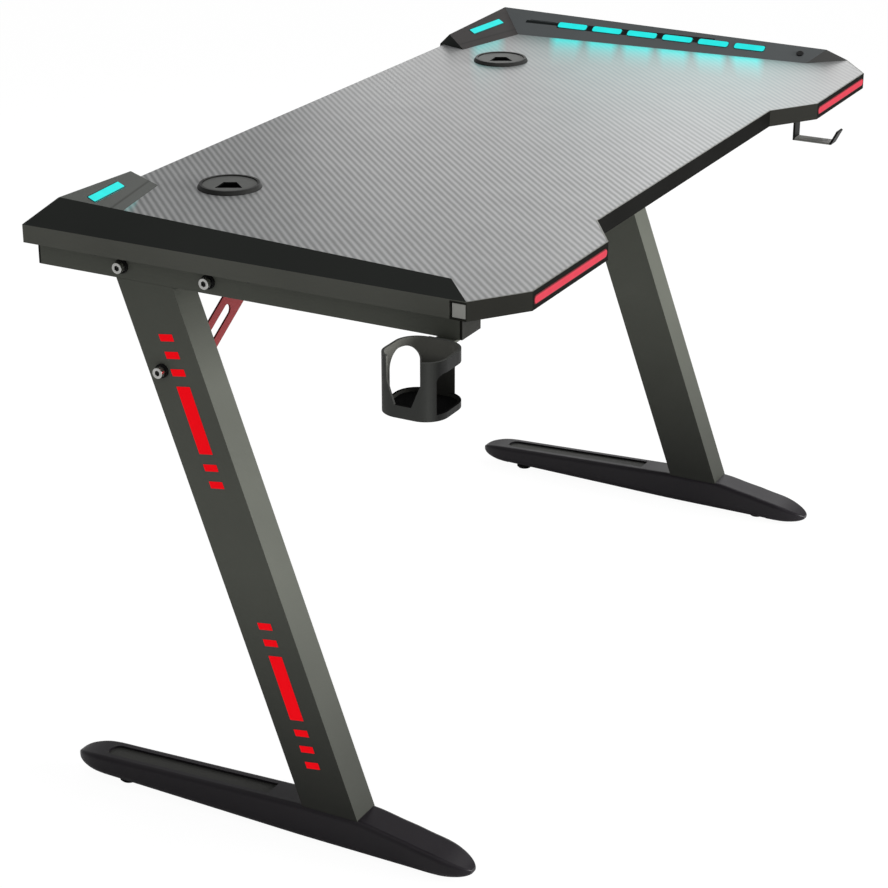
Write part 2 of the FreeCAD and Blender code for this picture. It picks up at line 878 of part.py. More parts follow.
def grommet_cap(x):
    """The cap, its guiding skirt and its cable slot, wider on the near side."""
    low = board_top + grommet_flange_edge + turning_gap
    up = vector(0, 0, 1)
    disc = rod(vector(0, 0, low), up, grommet_seat_radius - turning_gap, grommet_cap_thickness)
    outer = grommet_sleeve_radius - grommet_sleeve_wall - turning_gap
    skirt = rod(vector(0, 0, low - grommet_cap_skirt), up, outer, grommet_cap_skirt)
    hollow = rod(vector(0, 0, low - grommet_cap_skirt), up, outer - grommet_cap_wall, grommet_cap_skirt)
    near = -slot_near_shift - slot_depth / 2
    far = near + slot_depth
    slot = plate(
        [(near, -slot_near_width / 2), (far, -slot_far_width / 2), (far, slot_far_width / 2),
         (near, slot_near_width / 2)], low, low + grommet_cap_thickness)
    cap = fuse(disc, skirt.cut(hollow)).cut(slot)
    cap.rotate(vector(0, 0, 0), up, slot_heading)
    cap.translate(vector(x, grommet_y, 0))
    return cap


# Legs and rails
def leg_front(z):
    return leg_top_front_y + (z - rail_bottom) * math.tan(leg_lean)


def leg_block(grow, low, high, x0, x1):
    """A stretch of the slanted column, grown or shrunk on its front and back."""
    corners = [(leg_front(low) - grow, low), (leg_front(low) + leg_depth + grow, low),
               (leg_front(high) + leg_depth + grow, high), (leg_front(high) - grow, high)]
    return side_profile(corners, x0, x1)


def foot_bolt_spots():
    middle = leg_front(foot_bar_top) + leg_depth / 2
    x = (leg_outer_x + leg_inner_x) / 2
    return [vector(x, middle + side * foot_bolt_spacing / 2, foot_bar_bottom) for side in (-1, 1)]


brace_bolt_z = rail_bottom - brace_bolt_drop
brace_bolt_y = leg_front(brace_bolt_z) + leg_depth - brace_bolt_from_edge
brace_plate_y = brace_bolt_y - brace_plate_from_bolt
brace_foot_z = rail_bottom - brace_foot_drop
bolt_spots = [
    vector(leg_outer_x, rail_bolt_back_y, rail_bolt_z),
    vector(leg_outer_x, rail_bolt_front_y, rail_bolt_z),
    vector(leg_outer_x, brace_bolt_y, brace_bolt_z)]
bolt_grips = [rail_width + beam_plate_thickness] * 2 + [leg_thickness + brace_thickness]
inwards = vector(-1, 0, 0)
outwards = vector(1, 0, 0)


def bolt_holes(radius=bolt_radius + screw_gap):
    return [rod(spot, inwards, radius, grip + nut_height) for spot, grip in zip(bolt_spots, bolt_grips)]


def leg_column():
    skin_x0 = leg_inner_x + leg_wall
    skin_x1 = leg_outer_x - leg_wall
    tube = leg_block(0, foot_bar_top, rail_bottom, leg_inner_x, leg_outer_x)
    inside = leg_block(-leg_wall / math.cos(leg_lean), foot_bar_top + leg_plate,
                       rail_bottom, skin_x0, skin_x1)
    bolt_length = foot_bar_height + leg_plate
    holes = [rod(spot, vector(0, 0, 1), bolt_radius + screw_gap, bolt_length) for spot in foot_bolt_spots()]
    return tube.cut([inside] + holes + bolt_holes())


def top_rail():
    y0 = rail_front_y + rail_cap_thickness
    y1 = back_y - rail_cap_thickness
    tube = box(rail_inner_x, leg_outer_x, y0, y1, rail_bottom, board_bottom)
    inside = box(rail_inner_x + rail_wall, leg_outer_x - rail_wall, y0, y1,
                 rail_bottom + rail_wall, board_bottom - rail_wall)
    holes = [screw_hole(spot, vector(0, 0, 1), rail_height) for spot in rail_screw_spots()]
    return tube.cut([inside] + holes + bolt_holes())


def rail_cap(y_out, y_seat, y_plug):
    """An end plug for a rail: a plate flush with the tube and a smaller block inside it."""
    lid = box(rail_inner_x, leg_outer_x, min(y_out, y_seat), max(y_out, y_seat), rail_bottom, board_bottom)
    inset = rail_wall + drop_in_gap
    block = box(rail_inner_x + inset, leg_outer_x - inset, min(y_seat, y_plug), max(y_seat, y_plug),
                rail_bottom + inset, board_bottom - inset)
    return fuse(lid, block)


def rail_caps():
    front_seat = rail_front_y + rail_cap_thickness
    back_seat = back_y - rail_cap_thickness
    return [rail_cap(rail_front_y, front_seat, front_seat + rail_cap_plug),
            rail_cap(back_y, back_seat, back_seat - rail_cap_plug)]


def stripe_line(z):
    """The stripes' middle line, a little forward of the leg's and not quite parallel to it."""
    middle_z = (rail_bottom + foot_top) / 2
    middle_y = leg_front(middle_z) + leg_depth / 2 - stripe_forward
    return middle_y + (z - middle_z) * math.tan(leg_lean - math.radians(stripe_drift))


def stripe(middle, length):
    """One red mark that follows the leg's slant, with ends that rise a little towards the front."""
    half = stripe_width / 2
    lift = half * math.tan(math.radians(stripe_tilt))
    corners = []
    for side, end in ((-1, -1), (1, -1), (1, 1), (-1, 1)):
        z = middle + end * length / 2 - side * lift
        corners.append((stripe_line(z) + side * half, z))
    mark = side_profile(corners, leg_outer_x, leg_outer_x + stripe_thickness)
    room = collar_radius + drop_in_gap
    return mark.cut([rod(spot, outwards, room, stripe_thickness) for spot in bolt_spots])


def leg_stripes():
    marks = []
    for end, way in ((rail_bottom - stripe_top_margin, -1), (foot_top + stripe_bottom_margin, 1)):
        for length in (stripe_dash, stripe_dash, stripe_dash, stripe_bar, stripe_dash, stripe_dash):
            marks.append(stripe(end + way * length / 2, length))
            end += way * (length + stripe_gap)
    return marks


def crossbeam():
    half = beam_depth / 2
    tube = box(-beam_end_x, beam_end_x, beam_y - half, beam_y + half, beam_bottom, board_bottom)
    inside = box(-beam_end_x, beam_end_x, beam_y - half + beam_wall, beam_y + half - beam_wall,
                 beam_bottom + beam_wall, board_bottom - beam_wall)
    end_plate = box(beam_end_x, rail_inner_x, rail_bolt_front_y - beam_plate_margin,
                    rail_bolt_back_y + beam_plate_margin, rail_bottom, board_bottom)
    notch = box(cable_side_x - cable_notch / 2, cable_side_x + cable_notch / 2, beam_y - half, beam_y + half,
                board_bottom - cable_notch, board_bottom)
    up = vector(0, 0, 1)
    holes = [screw_hole(spot, up, beam_height) for spot in beam_screw_spots()]
    brace_hole = screw_hole(brace_screw_seat(), up, brace_thickness + board_screw_bite)
    holes += both_sides([notch, brace_hole] + bolt_holes())
    return fuse(tube.cut(inside), end_plate, mirrored(end_plate)).cut(holes)


# Braces: a slotted strip with a tab against the leg and a tab under the crossbeam
def brace_top_x():
    rise = beam_bottom - brace_thickness - brace_foot_z
    return leg_inner_x - brace_thickness - rise / math.tan(math.radians(brace_angle))


def brace_screw_seat():
    return vector(brace_top_x(), brace_plate_y + brace_screw_setback, beam_bottom - brace_thickness)


def brace():
    face_x = leg_inner_x - brace_thickness
    tab_z = beam_bottom - brace_thickness
    y0 = brace_plate_y - brace_thickness / 2
    y1 = y0 + brace_thickness
    reach = 2 * (tab_z - brace_foot_z) / math.sin(math.radians(brace_angle))
    strip = box(-reach, reach, y0, y1, -brace_width / 2, brace_width / 2)
    slot_radius = brace_slot_width / 2
    slot = box(-brace_slot_end, -brace_slot_start, y0, y1, -slot_radius, slot_radius)
    ends = [rod(vector(-x, y0, 0), vector(0, 1, 0), slot_radius, brace_thickness)
            for x in (brace_slot_start, brace_slot_end)]
    strip = strip.cut([slot] + ends)
    strip.rotate(vector(0, 0, 0), vector(0, 1, 0), brace_angle)
    strip.translate(vector(face_x, 0, brace_foot_z))
    room = box(0, face_x, y0, y1, 0, tab_z)
    half_foot = brace_width / 2 / math.cos(math.radians(brace_angle))
    foot_high = max(brace_foot_z + half_foot, brace_bolt_z + nut_flats)
    foot_tab = box(face_x, leg_inner_x, y0, y0 + brace_tab_depth, brace_foot_z - half_foot, foot_high)
    top_x = brace_top_x()
    half_top = brace_width / 2 / math.sin(math.radians(brace_angle)) + brace_tab_margin
    top_tab = box(top_x - half_top, top_x + half_top, y0, y0 + brace_tab_depth, tab_z, beam_bottom)
    holes = [screw_hole(brace_screw_seat(), vector(0, 0, 1), brace_thickness)] + bolt_holes()
    return fuse(strip.common(room), foot_tab, top_tab).cut(holes)


def frame_bolt(spot, grip):
    seat = spot + outwards * collar_thickness
    shank_length = collar_thickness + grip + nut_height + bolt_spare_thread
    shank = rod(seat, inwards, bolt_radius, shank_length)
    head = rod(seat, outwards, bolt_head_radius, bolt_head_height)
    socket_base = seat + outwards * (bolt_head_height - bolt_socket_depth)
    socket = hexagon(socket_base, outwards, bolt_socket_flats, bolt_socket_depth)
    return fuse(shank, head).cut(socket)


def collar(spot):
    return rod(spot, outwards, collar_radius, collar_thickness).cut(
        rod(spot, outwards, bolt_radius + screw_gap, collar_thickness))


def nut(spot, grip):
    seat = spot + inwards * grip
    return hexagon(seat, inwards, nut_flats, nut_height).cut(
        rod(seat, inwards, bolt_radius + screw_gap, nut_height))


# Feet
def foot_fullness(y):
    """How full the foot's section is: 1 along the foot, less towards the tip of each nose."""
    from_tip = min(y - foot_front_y, foot_back_y - y)
    return math.sqrt(1 - (1 - min(from_tip / foot_nose, 1)) ** 2)


def foot_lines(y):
    """Heights of the underside and the top before the noses are rounded."""
    shoulder_front = leg_front(foot_top) - foot_shoulder
    shoulder_back = leg_front(foot_top) + leg_depth + foot_shoulder
    front = max(shoulder_front - y, 0) / (shoulder_front - foot_front_y)
    back = max(y - shoulder_back, 0) / (foot_back_y - shoulder_back)
    fall = front * (foot_height - foot_front_height) + back * (foot_height - foot_back_height)
    return foot_lift + back * foot_back_rise, foot_top - fall


def foot_stations():
    """Places of the foot's sections, closer together in the noses."""
    turns = [math.pi / 2 * step / foot_nose_stations for step in range(1, foot_nose_stations + 1)]
    from_tips = [foot_nose * (1 - math.cos(turn)) for turn in turns]
    front = foot_front_y + foot_nose
    run = foot_back_y - foot_nose - front
    count = round(run / foot_station_spacing)
    middle = [front + run * step / count for step in range(1, count)]
    front_nose = [foot_front_y + step for step in from_tips]
    back_nose = [foot_back_y - step for step in reversed(from_tips)]
    return front_nose + middle + back_nose


def foot_section(y):
    """The foot's outline at one place along it: a rectangle with rounded corners."""
    full = foot_fullness(y)
    tip = foot_lift + (foot_front_tip if y < leg_front(foot_top) else foot_back_tip)
    low, high = [tip + (line - tip) * full for line in foot_lines(y)]
    half = foot_width / 2 * full
    corners = [(-half, low, foot_low_round), (half, low, foot_low_round),
               (half, high, foot_edge_round), (-half, high, foot_edge_round)]
    points = [vector(foot_centre_x + x, y, z) for x, z, radius in corners]
    arcs = [bend(points[at - 1], points[at], points[(at + 1) % 4], corners[at][2] * full) for at in range(4)]
    edges = []
    for last, arc in zip(arcs[-1:] + arcs, arcs):
        edges.append(Part.makeLine(last[2], arc[0]))
        edges.append(Part.Arc(*arc).toShape())
    return Part.Wire(edges)


def foot_form():
    """The foot's outside: a long low bar with soft edges that falls away from the leg to two round noses."""
    return Part.makeLoft([foot_section(y) for y in foot_stations()], True)


def foot_cover():
    form = foot_form()
    lowered = form.translated(vector(0, 0, -foot_groove_depth))
    groove_front = leg_front(foot_top) + leg_depth + foot_groove_from_leg
    groove = stadium(foot_centre_x, groove_front - foot_groove_width, foot_back_y - foot_groove_back_margin,
                     foot_groove_width, foot_bar_top, foot_top)
    square_end = box(foot_centre_x - foot_groove_width, foot_centre_x + foot_groove_width,
                     groove_front, foot_back_y, foot_bar_top, foot_top)
    groove = groove.common(square_end).cut(lowered)
    gap = drop_in_gap
    channel = box(foot_centre_x - foot_bar_width / 2, foot_centre_x + foot_bar_width / 2,
                  foot_bar_front_y - gap, foot_bar_back_y + gap, 0, foot_bar_top)
    leg_room = leg_block(gap, foot_bar_top, 2 * foot_top, leg_inner_x - gap, leg_outer_x + gap)
    return form.cut([groove, channel, leg_room])


def foot_bar():
    x0 = foot_centre_x - foot_bar_width / 2
    x1 = foot_centre_x + foot_bar_width / 2
    tube = box(x0, x1, foot_bar_front_y, foot_bar_back_y, foot_bar_bottom, foot_bar_top)
    inside = box(x0 + foot_bar_wall, x1 - foot_bar_wall, foot_bar_front_y, foot_bar_back_y,
                 foot_bar_bottom + foot_bar_wall, foot_bar_top - foot_bar_wall)
    up = vector(0, 0, 1)
    spots = [vector(foot_centre_x, y, foot_bar_bottom) for y in glide_places]
    bosses = [rod(spot, up, boss_radius, boss_height) for spot in spots]
    holes = [rod(spot, up, stud_radius + stud_gap, boss_height) for spot in spots]
    holes += [rod(spot, up, bolt_radius + screw_gap, foot_bar_height) for spot in foot_bolt_spots()]
    return fuse(tube.cut(inside), *bosses).cut(holes)


def foot_bolts():
    up = vector(0, 0, 1)
    bolts = []
    for spot in foot_bolt_spots():
        shank = rod(spot, up, bolt_radius, foot_bar_height + leg_plate)
        head = rod(spot, up * -1, bolt_head_radius, foot_bolt_head)
        bolts.append(fuse(shank, head))
    return bolts


def glide_pad(y):
    """A round pad with a rounded lower edge and a socket that holds the stud's end."""
    up = vector(0, 0, 1)
    pad = Part.makeCone(glide_pad_radius - glide_pad_edge, glide_pad_radius, glide_pad_edge,
                        vector(foot_centre_x, y, 0), up)
    body_base = vector(foot_centre_x, y, glide_pad_edge)
    body = rod(body_base, up, glide_pad_radius, glide_pad_height - glide_pad_edge)
    socket = rod(vector(foot_centre_x, y, glide_pad_height - glide_socket_depth), up, stud_radius + stud_gap,
                 glide_socket_depth)
    return fuse(pad, body).cut(socket)


def glide_stud(y):
    up = vector(0, 0, 1)
    base = vector(foot_centre_x, y, glide_pad_height - glide_socket_depth + turning_gap)
    hex_base = vector(foot_centre_x, y, glide_pad_height + turning_gap)
    nut_form = hexagon(hex_base, up, stud_hex_flats, stud_hex_height)
    return fuse(rod(base, up, stud_radius, stud_length), nut_form)


# Light controller: a case that is open below, its cover, circuit board, inlet and cables
def controller_case():
    case = box(controller_inner_x, controller_outer_x, controller_front_y, controller_back_y,
               controller_bottom + controller_wall, board_bottom)
    inside = box(controller_inner_x + controller_wall, controller_outer_x - controller_wall,
                 controller_front_y + controller_wall, controller_back_y - controller_wall,
                 controller_bottom + controller_wall, board_bottom - controller_wall)
    up = vector(0, 0, 1)
    posts = [rod(vector(spot.x, spot.y, controller_bottom + controller_wall), up, controller_post,
                 controller_height - controller_wall) for spot in controller_screw_spots()]
    posts = [post.common(case) for post in posts]
    holes = [screw_hole(spot, up, controller_height) for spot in controller_screw_spots()]
    hole_radius = cable_radius + screw_gap
    span = controller_length + 2 * controller_wall
    start_x = controller_inner_x - controller_wall
    for y in (trim_cable_y, front_cable_y):
        holes.append(rod(vector(start_x, y, cable_z), outwards, hole_radius, span))
    holes.append(rod(inlet_place(), vector(0, -1, 0), inlet_radius + screw_gap, 2 * controller_wall))
    return fuse(case.cut(inside), *posts).cut(holes)


def controller_cover():
    lid = box(controller_inner_x, controller_outer_x, controller_front_y, controller_back_y,
              controller_bottom, controller_bottom + controller_wall)
    return lid.cut([screw_hole(spot, vector(0, 0, 1), controller_wall) for spot in controller_screw_spots()])


def circuit_board():
    """The board stands on its own spacers on the cover and keeps clear of the corner posts."""
    inset = controller_wall + 2 * controller_post + circuit_margin
    low = controller_bottom + controller_wall
    x0 = controller_inner_x + inset
    x1 = controller_outer_x - inset
    y0 = controller_front_y + controller_wall + circuit_margin
    y1 = controller_back_y - inlet_length - circuit_margin
    sheet = box(x0, x1, y0, y1, low + circuit_lift, low + circuit_lift + circuit_thickness)
    spacer = controller_post / 2
    spacers = [rod(vector(x, y, low), vector(0, 0, 1), spacer, circuit_lift)
               for x in (x0 + spacer, x1 - spacer) for y in (y0 + spacer, y1 - spacer)]
    return fuse(sheet, *spacers)


def inlet_place():
    return vector((controller_inner_x + controller_outer_x) / 2, controller_back_y,
                  (controller_bottom + board_bottom) / 2)


def power_inlet():
    """A round socket for a low-voltage plug, through the back wall of the case."""
    place = inlet_place()
    inward = vector(0, -1, 0)
    barrel = rod(place, inward, inlet_radius, inlet_length)
    flange = rod(place, inward * -1, inlet_flange_radius, inlet_flange)
    bore = rod(place + inward * -inlet_flange, inward, inlet_hole_radius, inlet_length)
    return fuse(barrel, flange).cut(bore)


def cable(points):
    """A round cable: straight runs joined by tangent arcs."""
    edges = []
    start = points[0]
    for before, corner, after in zip(points, points[1:], points[2:]):
        arc = bend(before, corner, after, cable_bend)
        edges.append(Part.makeLine(start, arc[0]))
        edges.append(Part.Arc(*arc).toShape())
        start = arc[2]
    edges.append(Part.makeLine(start, points[-1]))
    profile = Part.Wire(Part.makeCircle(cable_radius, points[0], points[1] - points[0]))
    return Part.Wire(edges).makePipeShell([profile], True, False)


def light_cables():
    """Two cables to the trims and two to the front light bars, from inside the controller's case."""
    cables = []
    rise_x = cable_side_x + cable_bend
    bar_x = front_cable_x()
    for side, case_x in ((1, controller_outer_x), (-1, controller_inner_x)):
        start_x = case_x - side * 2 * controller_wall
        cables.append(cable([
            vector(start_x, trim_cable_y, cable_z),
            vector(side * rise_x, trim_cable_y, cable_z),
            vector(side * rise_x, trim_cable_y, board_top)]))
        cables.append(cable([
            vector(start_x, front_cable_y, cable_z),
            vector(side * cable_side_x, front_cable_y, cable_z),
            vector(side * cable_side_x, bar_well_y, cable_z),
            vector(side * bar_x, bar_well_y, cable_z)]))
    return cables


def clip(x0, x1, y0, y1, holes):
    return box(x0, x1, y0, y1, cable_z - cable_radius - clip_wall, board_bottom).cut(holes)


def cable_clips():
    hole = cable_radius + screw_gap
    half = clip_length / 2
    clips = []
    for step in (-1, 0, 1):
        x = step * trunk_clip_spacing
        ys = (trim_cable_y, front_cable_y)
        holes = [rod(vector(x - half, y, cable_z), outwards, hole, clip_length) for y in ys]
        clips.append(clip(x - half, x + half, ys[0] - hole - clip_wall, ys[1] + hole + clip_wall, holes))
    for y in (rail_front_y + rail_width, (rail_front_y + beam_y) / 2):
        hollow = rod(vector(cable_side_x, y - half, cable_z), vector(0, 1, 0), hole, clip_length)
        side = hole + clip_wall
        clips += both_sides([clip(cable_side_x - side, cable_side_x + side, y - half, y + half, [hollow])])
    return clips


# Cup holder
def cup_directions(azimuth):
    angle = math.radians(azimuth)
    return vector(math.cos(angle), math.sin(angle), 0), vector(-math.sin(angle), math.cos(angle), 0)


def cup_window(azimuth, width, low, high, corner):
    """A window through the wall on one side, with rounded corners above and square ones below."""
    out, side = cup_directions(azimuth)
    block = rounded_block(width, high - low + 2 * corner, corner, 0, 2 * cup_half)
    middle = vector(cup_x, cup_y, (low + high) / 2 - corner)
    window = placed(block, middle, side, side.cross(out) * -1, out)
    reach = 3 * cup_half
    return window.common(box(cup_x - reach, cup_x + reach, cup_y - reach, cup_y + reach, low, high + reach))


def cup_slot(low):
    """The slot for a mug's handle: open at the rim, narrower towards its foot."""
    out, side = cup_directions(cup_slot_azimuth)
    wide = cup_slot_width / 2
    narrow = cup_slot_low_width / 2
    top = cup_rim + cup_wall
    outline = [(-wide, top), (-wide, low + cup_slot_taper), (-narrow, low), (narrow, low),
               (wide, low + cup_slot_taper), (wide, top)]
    points = [vector(cup_x, cup_y, z) + side * across for across, z in outline]
    return face(points).extrude(out * (2 * cup_half))


def cup_pad_face():
    return cup_x + cup_half + cup_pad_thickness


def cup_screw_spots():
    x = cup_pad_face() + cup_bracket_thickness
    z = rail_bottom - cup_bracket_thickness - screw_head_radius - cup_screw_margin
    return [vector(x, cup_y, z - step * cup_screw_spacing) for step in (0, 1)]


def cup_rail_screw_spots():
    z = rail_bottom - cup_bracket_thickness
    middle = -(leg_outer_x - cup_bracket_reach / 2)
    return [vector(middle + side * cup_bracket_reach / 4, cup_y, z) for side in (-1, 1)]


def cup_form(inset, low, high):
    """The holder's outer form, a square with round corners, or the same form set in from it."""
    side = 2 * (cup_half - inset)
    form = rounded_block(side, side, cup_corner - inset, low, high)
    return form.translated(vector(cup_x, cup_y, 0))


def cup_holder():
    shell = cup_form(0, cup_bottom, cup_rim)
    tray_top = cup_bottom + cup_tray_height
    half = cup_bracket_width / 2
    pad_bottom = rail_bottom - cup_bracket_drop
    pad = box(cup_x, cup_pad_face(), cup_y - half, cup_y + half, pad_bottom, cup_rim)
    inside = cup_form(cup_wall, cup_bottom + cup_floor, cup_rim + cup_wall)
    windows = [
        cup_slot(cup_bottom + cup_slot_sill),
        cup_window(cup_back_window_azimuth, cup_back_window_width, tray_top, cup_rim - cup_rim_band,
                   cup_back_window_corner),
        cup_window(cup_front_window_azimuth, cup_front_window_width, tray_top, cup_rim - cup_front_band,
                   cup_front_window_corner)]
    depth = cup_bracket_thickness + cup_screw_bite
    holes = [screw_hole(spot, inwards, depth) for spot in cup_screw_spots()]
    return fuse(shell, pad).cut([inside] + windows + holes)


def cup_bracket():
    half = cup_bracket_width / 2
    face_x = cup_pad_face()
    tab = box(face_x, face_x + cup_bracket_thickness, cup_y - half, cup_y + half,
              rail_bottom - cup_bracket_drop, rail_bottom)
    arm = box(face_x, -leg_outer_x + cup_bracket_reach, cup_y - half, cup_y + half,
              rail_bottom - cup_bracket_thickness, rail_bottom)
    holes = [screw_hole(spot, inwards, cup_bracket_thickness) for spot in cup_screw_spots()]
    holes += [screw_hole(spot, vector(0, 0, 1), cup_bracket_thickness) for spot in cup_rail_screw_spots()]
    return fuse(tab, arm).cut(holes)


def cup_screws():
    side = cup_bracket_thickness + cup_screw_bite
    rail = cup_bracket_thickness + rail_wall
    screws = [screw(spot, inwards, side) for spot in cup_screw_spots()]
    return screws + [screw(spot, vector(0, 0, 1), rail + 2 * screw_radius) for spot in cup_rail_screw_spots()]


# Headset hook: one bent strip
def offset_line(points, distance):
    """An open line of points moved sideways, with mitred corners."""
    lines = []
    for (y0, z0), (y1, z1) in zip(points, points[1:]):
        length = math.hypot(y1 - y0, z1 - z0)
        ny = (z0 - z1) / length
        nz = (y1 - y0) / length
        lines.append((ny, nz, ny * y0 + nz * z0 + distance))
    first = (points[0][0] + lines[0][0] * distance, points[0][1] + lines[0][1] * distance)
    last = (points[-1][0] + lines[-1][0] * distance, points[-1][1] + lines[-1][1] * distance)
    corners = []
    for (a, b, c), (d, e, f) in zip(lines, lines[1:]):
        size = a * e - b * d
        corners.append(((c * e - b * f) / size, (a * f - c * d) / size))
    return [first] + corners + [last]


def headset_hook():
    half = hook_thickness / 2
    stem_y = front_y + hook_stem_from_front
    top = board_bottom - half
    low = board_bottom - hook_drop
    arm_y = stem_y - hook_arm
    middle = [(stem_y + hook_plate_length, top), (stem_y, top), (stem_y, low), (arm_y, low),
              (arm_y - hook_tip_run, low + hook_tip_rise)]
    section = offset_line(middle, half) + list(reversed(offset_line(middle, -half)))
    strip = side_profile(section, hook_x - hook_width / 2, hook_x + hook_width / 2)
    return strip.cut([screw_hole(spot, vector(0, 0, 1), hook_thickness) for spot in hook_screw_spots()])


# Writing every piece
os.makedirs("parts", exist_ok=True)
up = vector(0, 0, 1)

save("desktop_board", desktop_board())
save("desktop_laminate", laminate())
save("edge_bands", front_edge_band(), back_edge_band())
save("edge_plugs", *both_sides([edge_plug()]))

right_trim = side_trim()
save("left_side_trim", mirrored(right_trim))
save("right_side_trim", right_trim.cut(button_hole()))
save_pair("corner_pod", corner_pod())
save("right_trim_lenses", *trim_lenses())
save("left_trim_lenses", *[mirrored(lens) for lens in trim_lenses()])
save("pod_lenses", *both_sides([pod_lens()]))
save("trim_led_strips", *both_sides([trim_led_strip()]))
bar_lens = bar_light(0, front_y - lens_proud, front_y - lens_proud + bar_lens_thickness)
save("bar_light_lenses", *both_sides([bar_lens]))
save("bar_led_strips", *both_sides([bar_led_strip()]))
save("light_button", button())
save("light_switch", light_switch())

save_pair("grommet_ring", grommet_ring())
save("left_grommet_cap", grommet_cap(-grommet_x))
save("right_grommet_cap", grommet_cap(grommet_x))

save_pair("leg_column", leg_column())
save("right_top_rail", top_rail())
cup_rail_holes = [screw_hole(spot, up, rail_height / 2) for spot in cup_rail_screw_spots()]
save("left_top_rail", mirrored(top_rail()).cut(cup_rail_holes))
save("rail_end_caps", *both_sides(rail_caps()))
save("right_leg_stripes", *leg_stripes())
save("left_leg_stripes", *[mirrored(mark) for mark in leg_stripes()])
save("crossbeam", crossbeam())
save_pair("brace", brace())
bolts = list(zip(bolt_spots, bolt_grips))
save("frame_bolts", *both_sides([frame_bolt(spot, grip) for spot, grip in bolts]))
save("bolt_collars", *both_sides([collar(spot) for spot in bolt_spots]))
save("frame_nuts", *both_sides([nut(spot, grip) for spot, grip in bolts]))
save_pair("foot_cover", foot_cover())
save_pair("foot_bar", foot_bar())
save("foot_bolts", *both_sides(foot_bolts()))
for place, y in zip(("front", "back"), glide_places):
    save_pair(place + "_glide_pad", glide_pad(y))
    save_pair(place + "_glide_stud", glide_stud(y))

brace_screw = screw(brace_screw_seat(), up, brace_thickness + board_screw_bite - screw_head_height)
frame_screws = [screw(seat, way, length) for seat, way, length in board_screws()]
save("frame_screws", *(frame_screws + both_sides([brace_screw])))
trim_screw_length = board_thickness + trim_screw_bite
trim_screws = [screw(spot, up, trim_screw_length) for spot in trim_screw_spots() + [pod_screw_spot()]]
save("trim_screws", *both_sides(trim_screws))

save("controller_case", controller_case())
save("controller_cover", controller_cover())
save("circuit_board", circuit_board())
save("power_inlet", power_inlet())
case_screw_length = controller_height + board_screw_bite
save("controller_screws", *[screw(spot, up, case_screw_length) for spot in controller_screw_spots()])
save("light_cables", *light_cables())
save("cable_clips", *cable_clips())

save("cup_holder", cup_holder())
save("cup_bracket", cup_bracket())
save("cup_screws", *cup_screws())
save("headset_hook", headset_hook())
hook_screws = [screw(spot, up, hook_thickness + board_screw_bite) for spot in hook_screw_spots()]
save("hook_screws", *hook_screws)
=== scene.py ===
import math

import bpy
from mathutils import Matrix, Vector


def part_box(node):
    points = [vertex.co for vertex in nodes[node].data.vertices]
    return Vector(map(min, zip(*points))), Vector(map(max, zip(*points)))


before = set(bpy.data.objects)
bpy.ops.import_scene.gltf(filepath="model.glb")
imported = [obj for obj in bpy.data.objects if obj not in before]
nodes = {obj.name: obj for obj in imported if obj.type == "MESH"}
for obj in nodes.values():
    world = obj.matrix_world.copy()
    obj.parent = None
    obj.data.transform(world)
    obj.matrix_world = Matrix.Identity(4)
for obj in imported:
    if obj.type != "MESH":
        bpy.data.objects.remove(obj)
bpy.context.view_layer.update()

# The dressed gaming desk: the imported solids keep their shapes, get softened edges and procedural finishes,
# and stand on a pale floor in soft studio light. Lengths are in metres, in the frame of the solids.
MM = 0.001

# Camera at the photograph's view
CAMERA_PLACE = Vector((-2.65187, -1.32266, 1.53829))
CAMERA_YAW = math.radians(27.976)
CAMERA_PITCH = math.radians(-22.766)
CAMERA_LENS = 95.53

# Laminate pattern
STRIPE_PERIOD = 8.1 * MM
STRIPE_HEADING = math.radians(135)
THREAD_PERIOD = 1.35 * MM
# Towards the right end, between these places in x, the stripes fade and their mean tone lightens: a painted
# sheen
STRIPE_FADE_START = -0.15
STRIPE_FADE_END = 0.45
STRIPE_FADED_SHARE = 0.18
STRIPE_SHEEN_TONE = 0.58

# Row of light windows in each side trim, with dark gaps between them and a narrower groove behind them that
# gets painted shade
WINDOW_PITCH = 56 * MM
WINDOW_COUNT = 6
WINDOW_WIDTH_IN_PLAN = 11 * MM
WINDOW_MIDDLE_IN_PLAN = 6 * MM
GAP_LOW, GAP_HIGH = -5.0 * MM, 5.4 * MM
GROOVE_LOW, GROOVE_HIGH = -1.0 * MM, 4.0 * MM
GROOVE_REACH = 52 * MM

# Painted shade line at the fold along each pod's lower edge: heights over the desk top between which it comes
# and goes
FOLD_START = (4.6 * MM, 5.2 * MM)
FOLD_END = (5.6 * MM, 6.4 * MM)

# Heights between which painted shade darkens the legs towards the feet, in two steps
LEG_SHADE_TOP, LEG_SHADE_MIDDLE, LEG_SHADE_BOTTOM = 0.34, 0.20, 0.06
LEG_SHADE_STEP = 0.4

# Groove in the top of each foot
FOOT_MIDDLE = 563.5 * MM
FOOT_GROOVE_HALF = 12 * MM
FOOT_GROOVE_FRONT = 21 * MM
FOOT_GROOVE_BACK = 262 * MM

# Headset hook: its arm is the lowest stretch, between the raised tip and the stem under its plate
HOOK_ARM_RISE = 3.6 * MM
HOOK_TIP_REACH = 12 * MM
HOOK_PLATE_REACH = 39.5 * MM

# Places taken from the frame
desk_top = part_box("desktop_laminate")[1].z
lens_low, lens_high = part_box("right_trim_lenses")
cup_low, cup_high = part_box("cup_holder")
hook_low, hook_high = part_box("headset_hook")


# Node helpers
def add(tree, kind, **settings):
    """A new node with its properties set."""
    made = tree.nodes.new(kind)
    for name, value in settings.items():
        setattr(made, name, value)
    return made


def put(tree, socket, value):
    """A link from another node's output, or a plain value."""
    if isinstance(value, bpy.types.NodeSocket):
        tree.links.new(value, socket)
    else:
        socket.default_value = value


def maths(tree, operation, first, second=0.0, third=0.0):
    made = add(tree, "ShaderNodeMath", operation=operation)
    for socket, value in zip(made.inputs, (first, second, third)):
        put(tree, socket, value)
    return made.outputs[0]


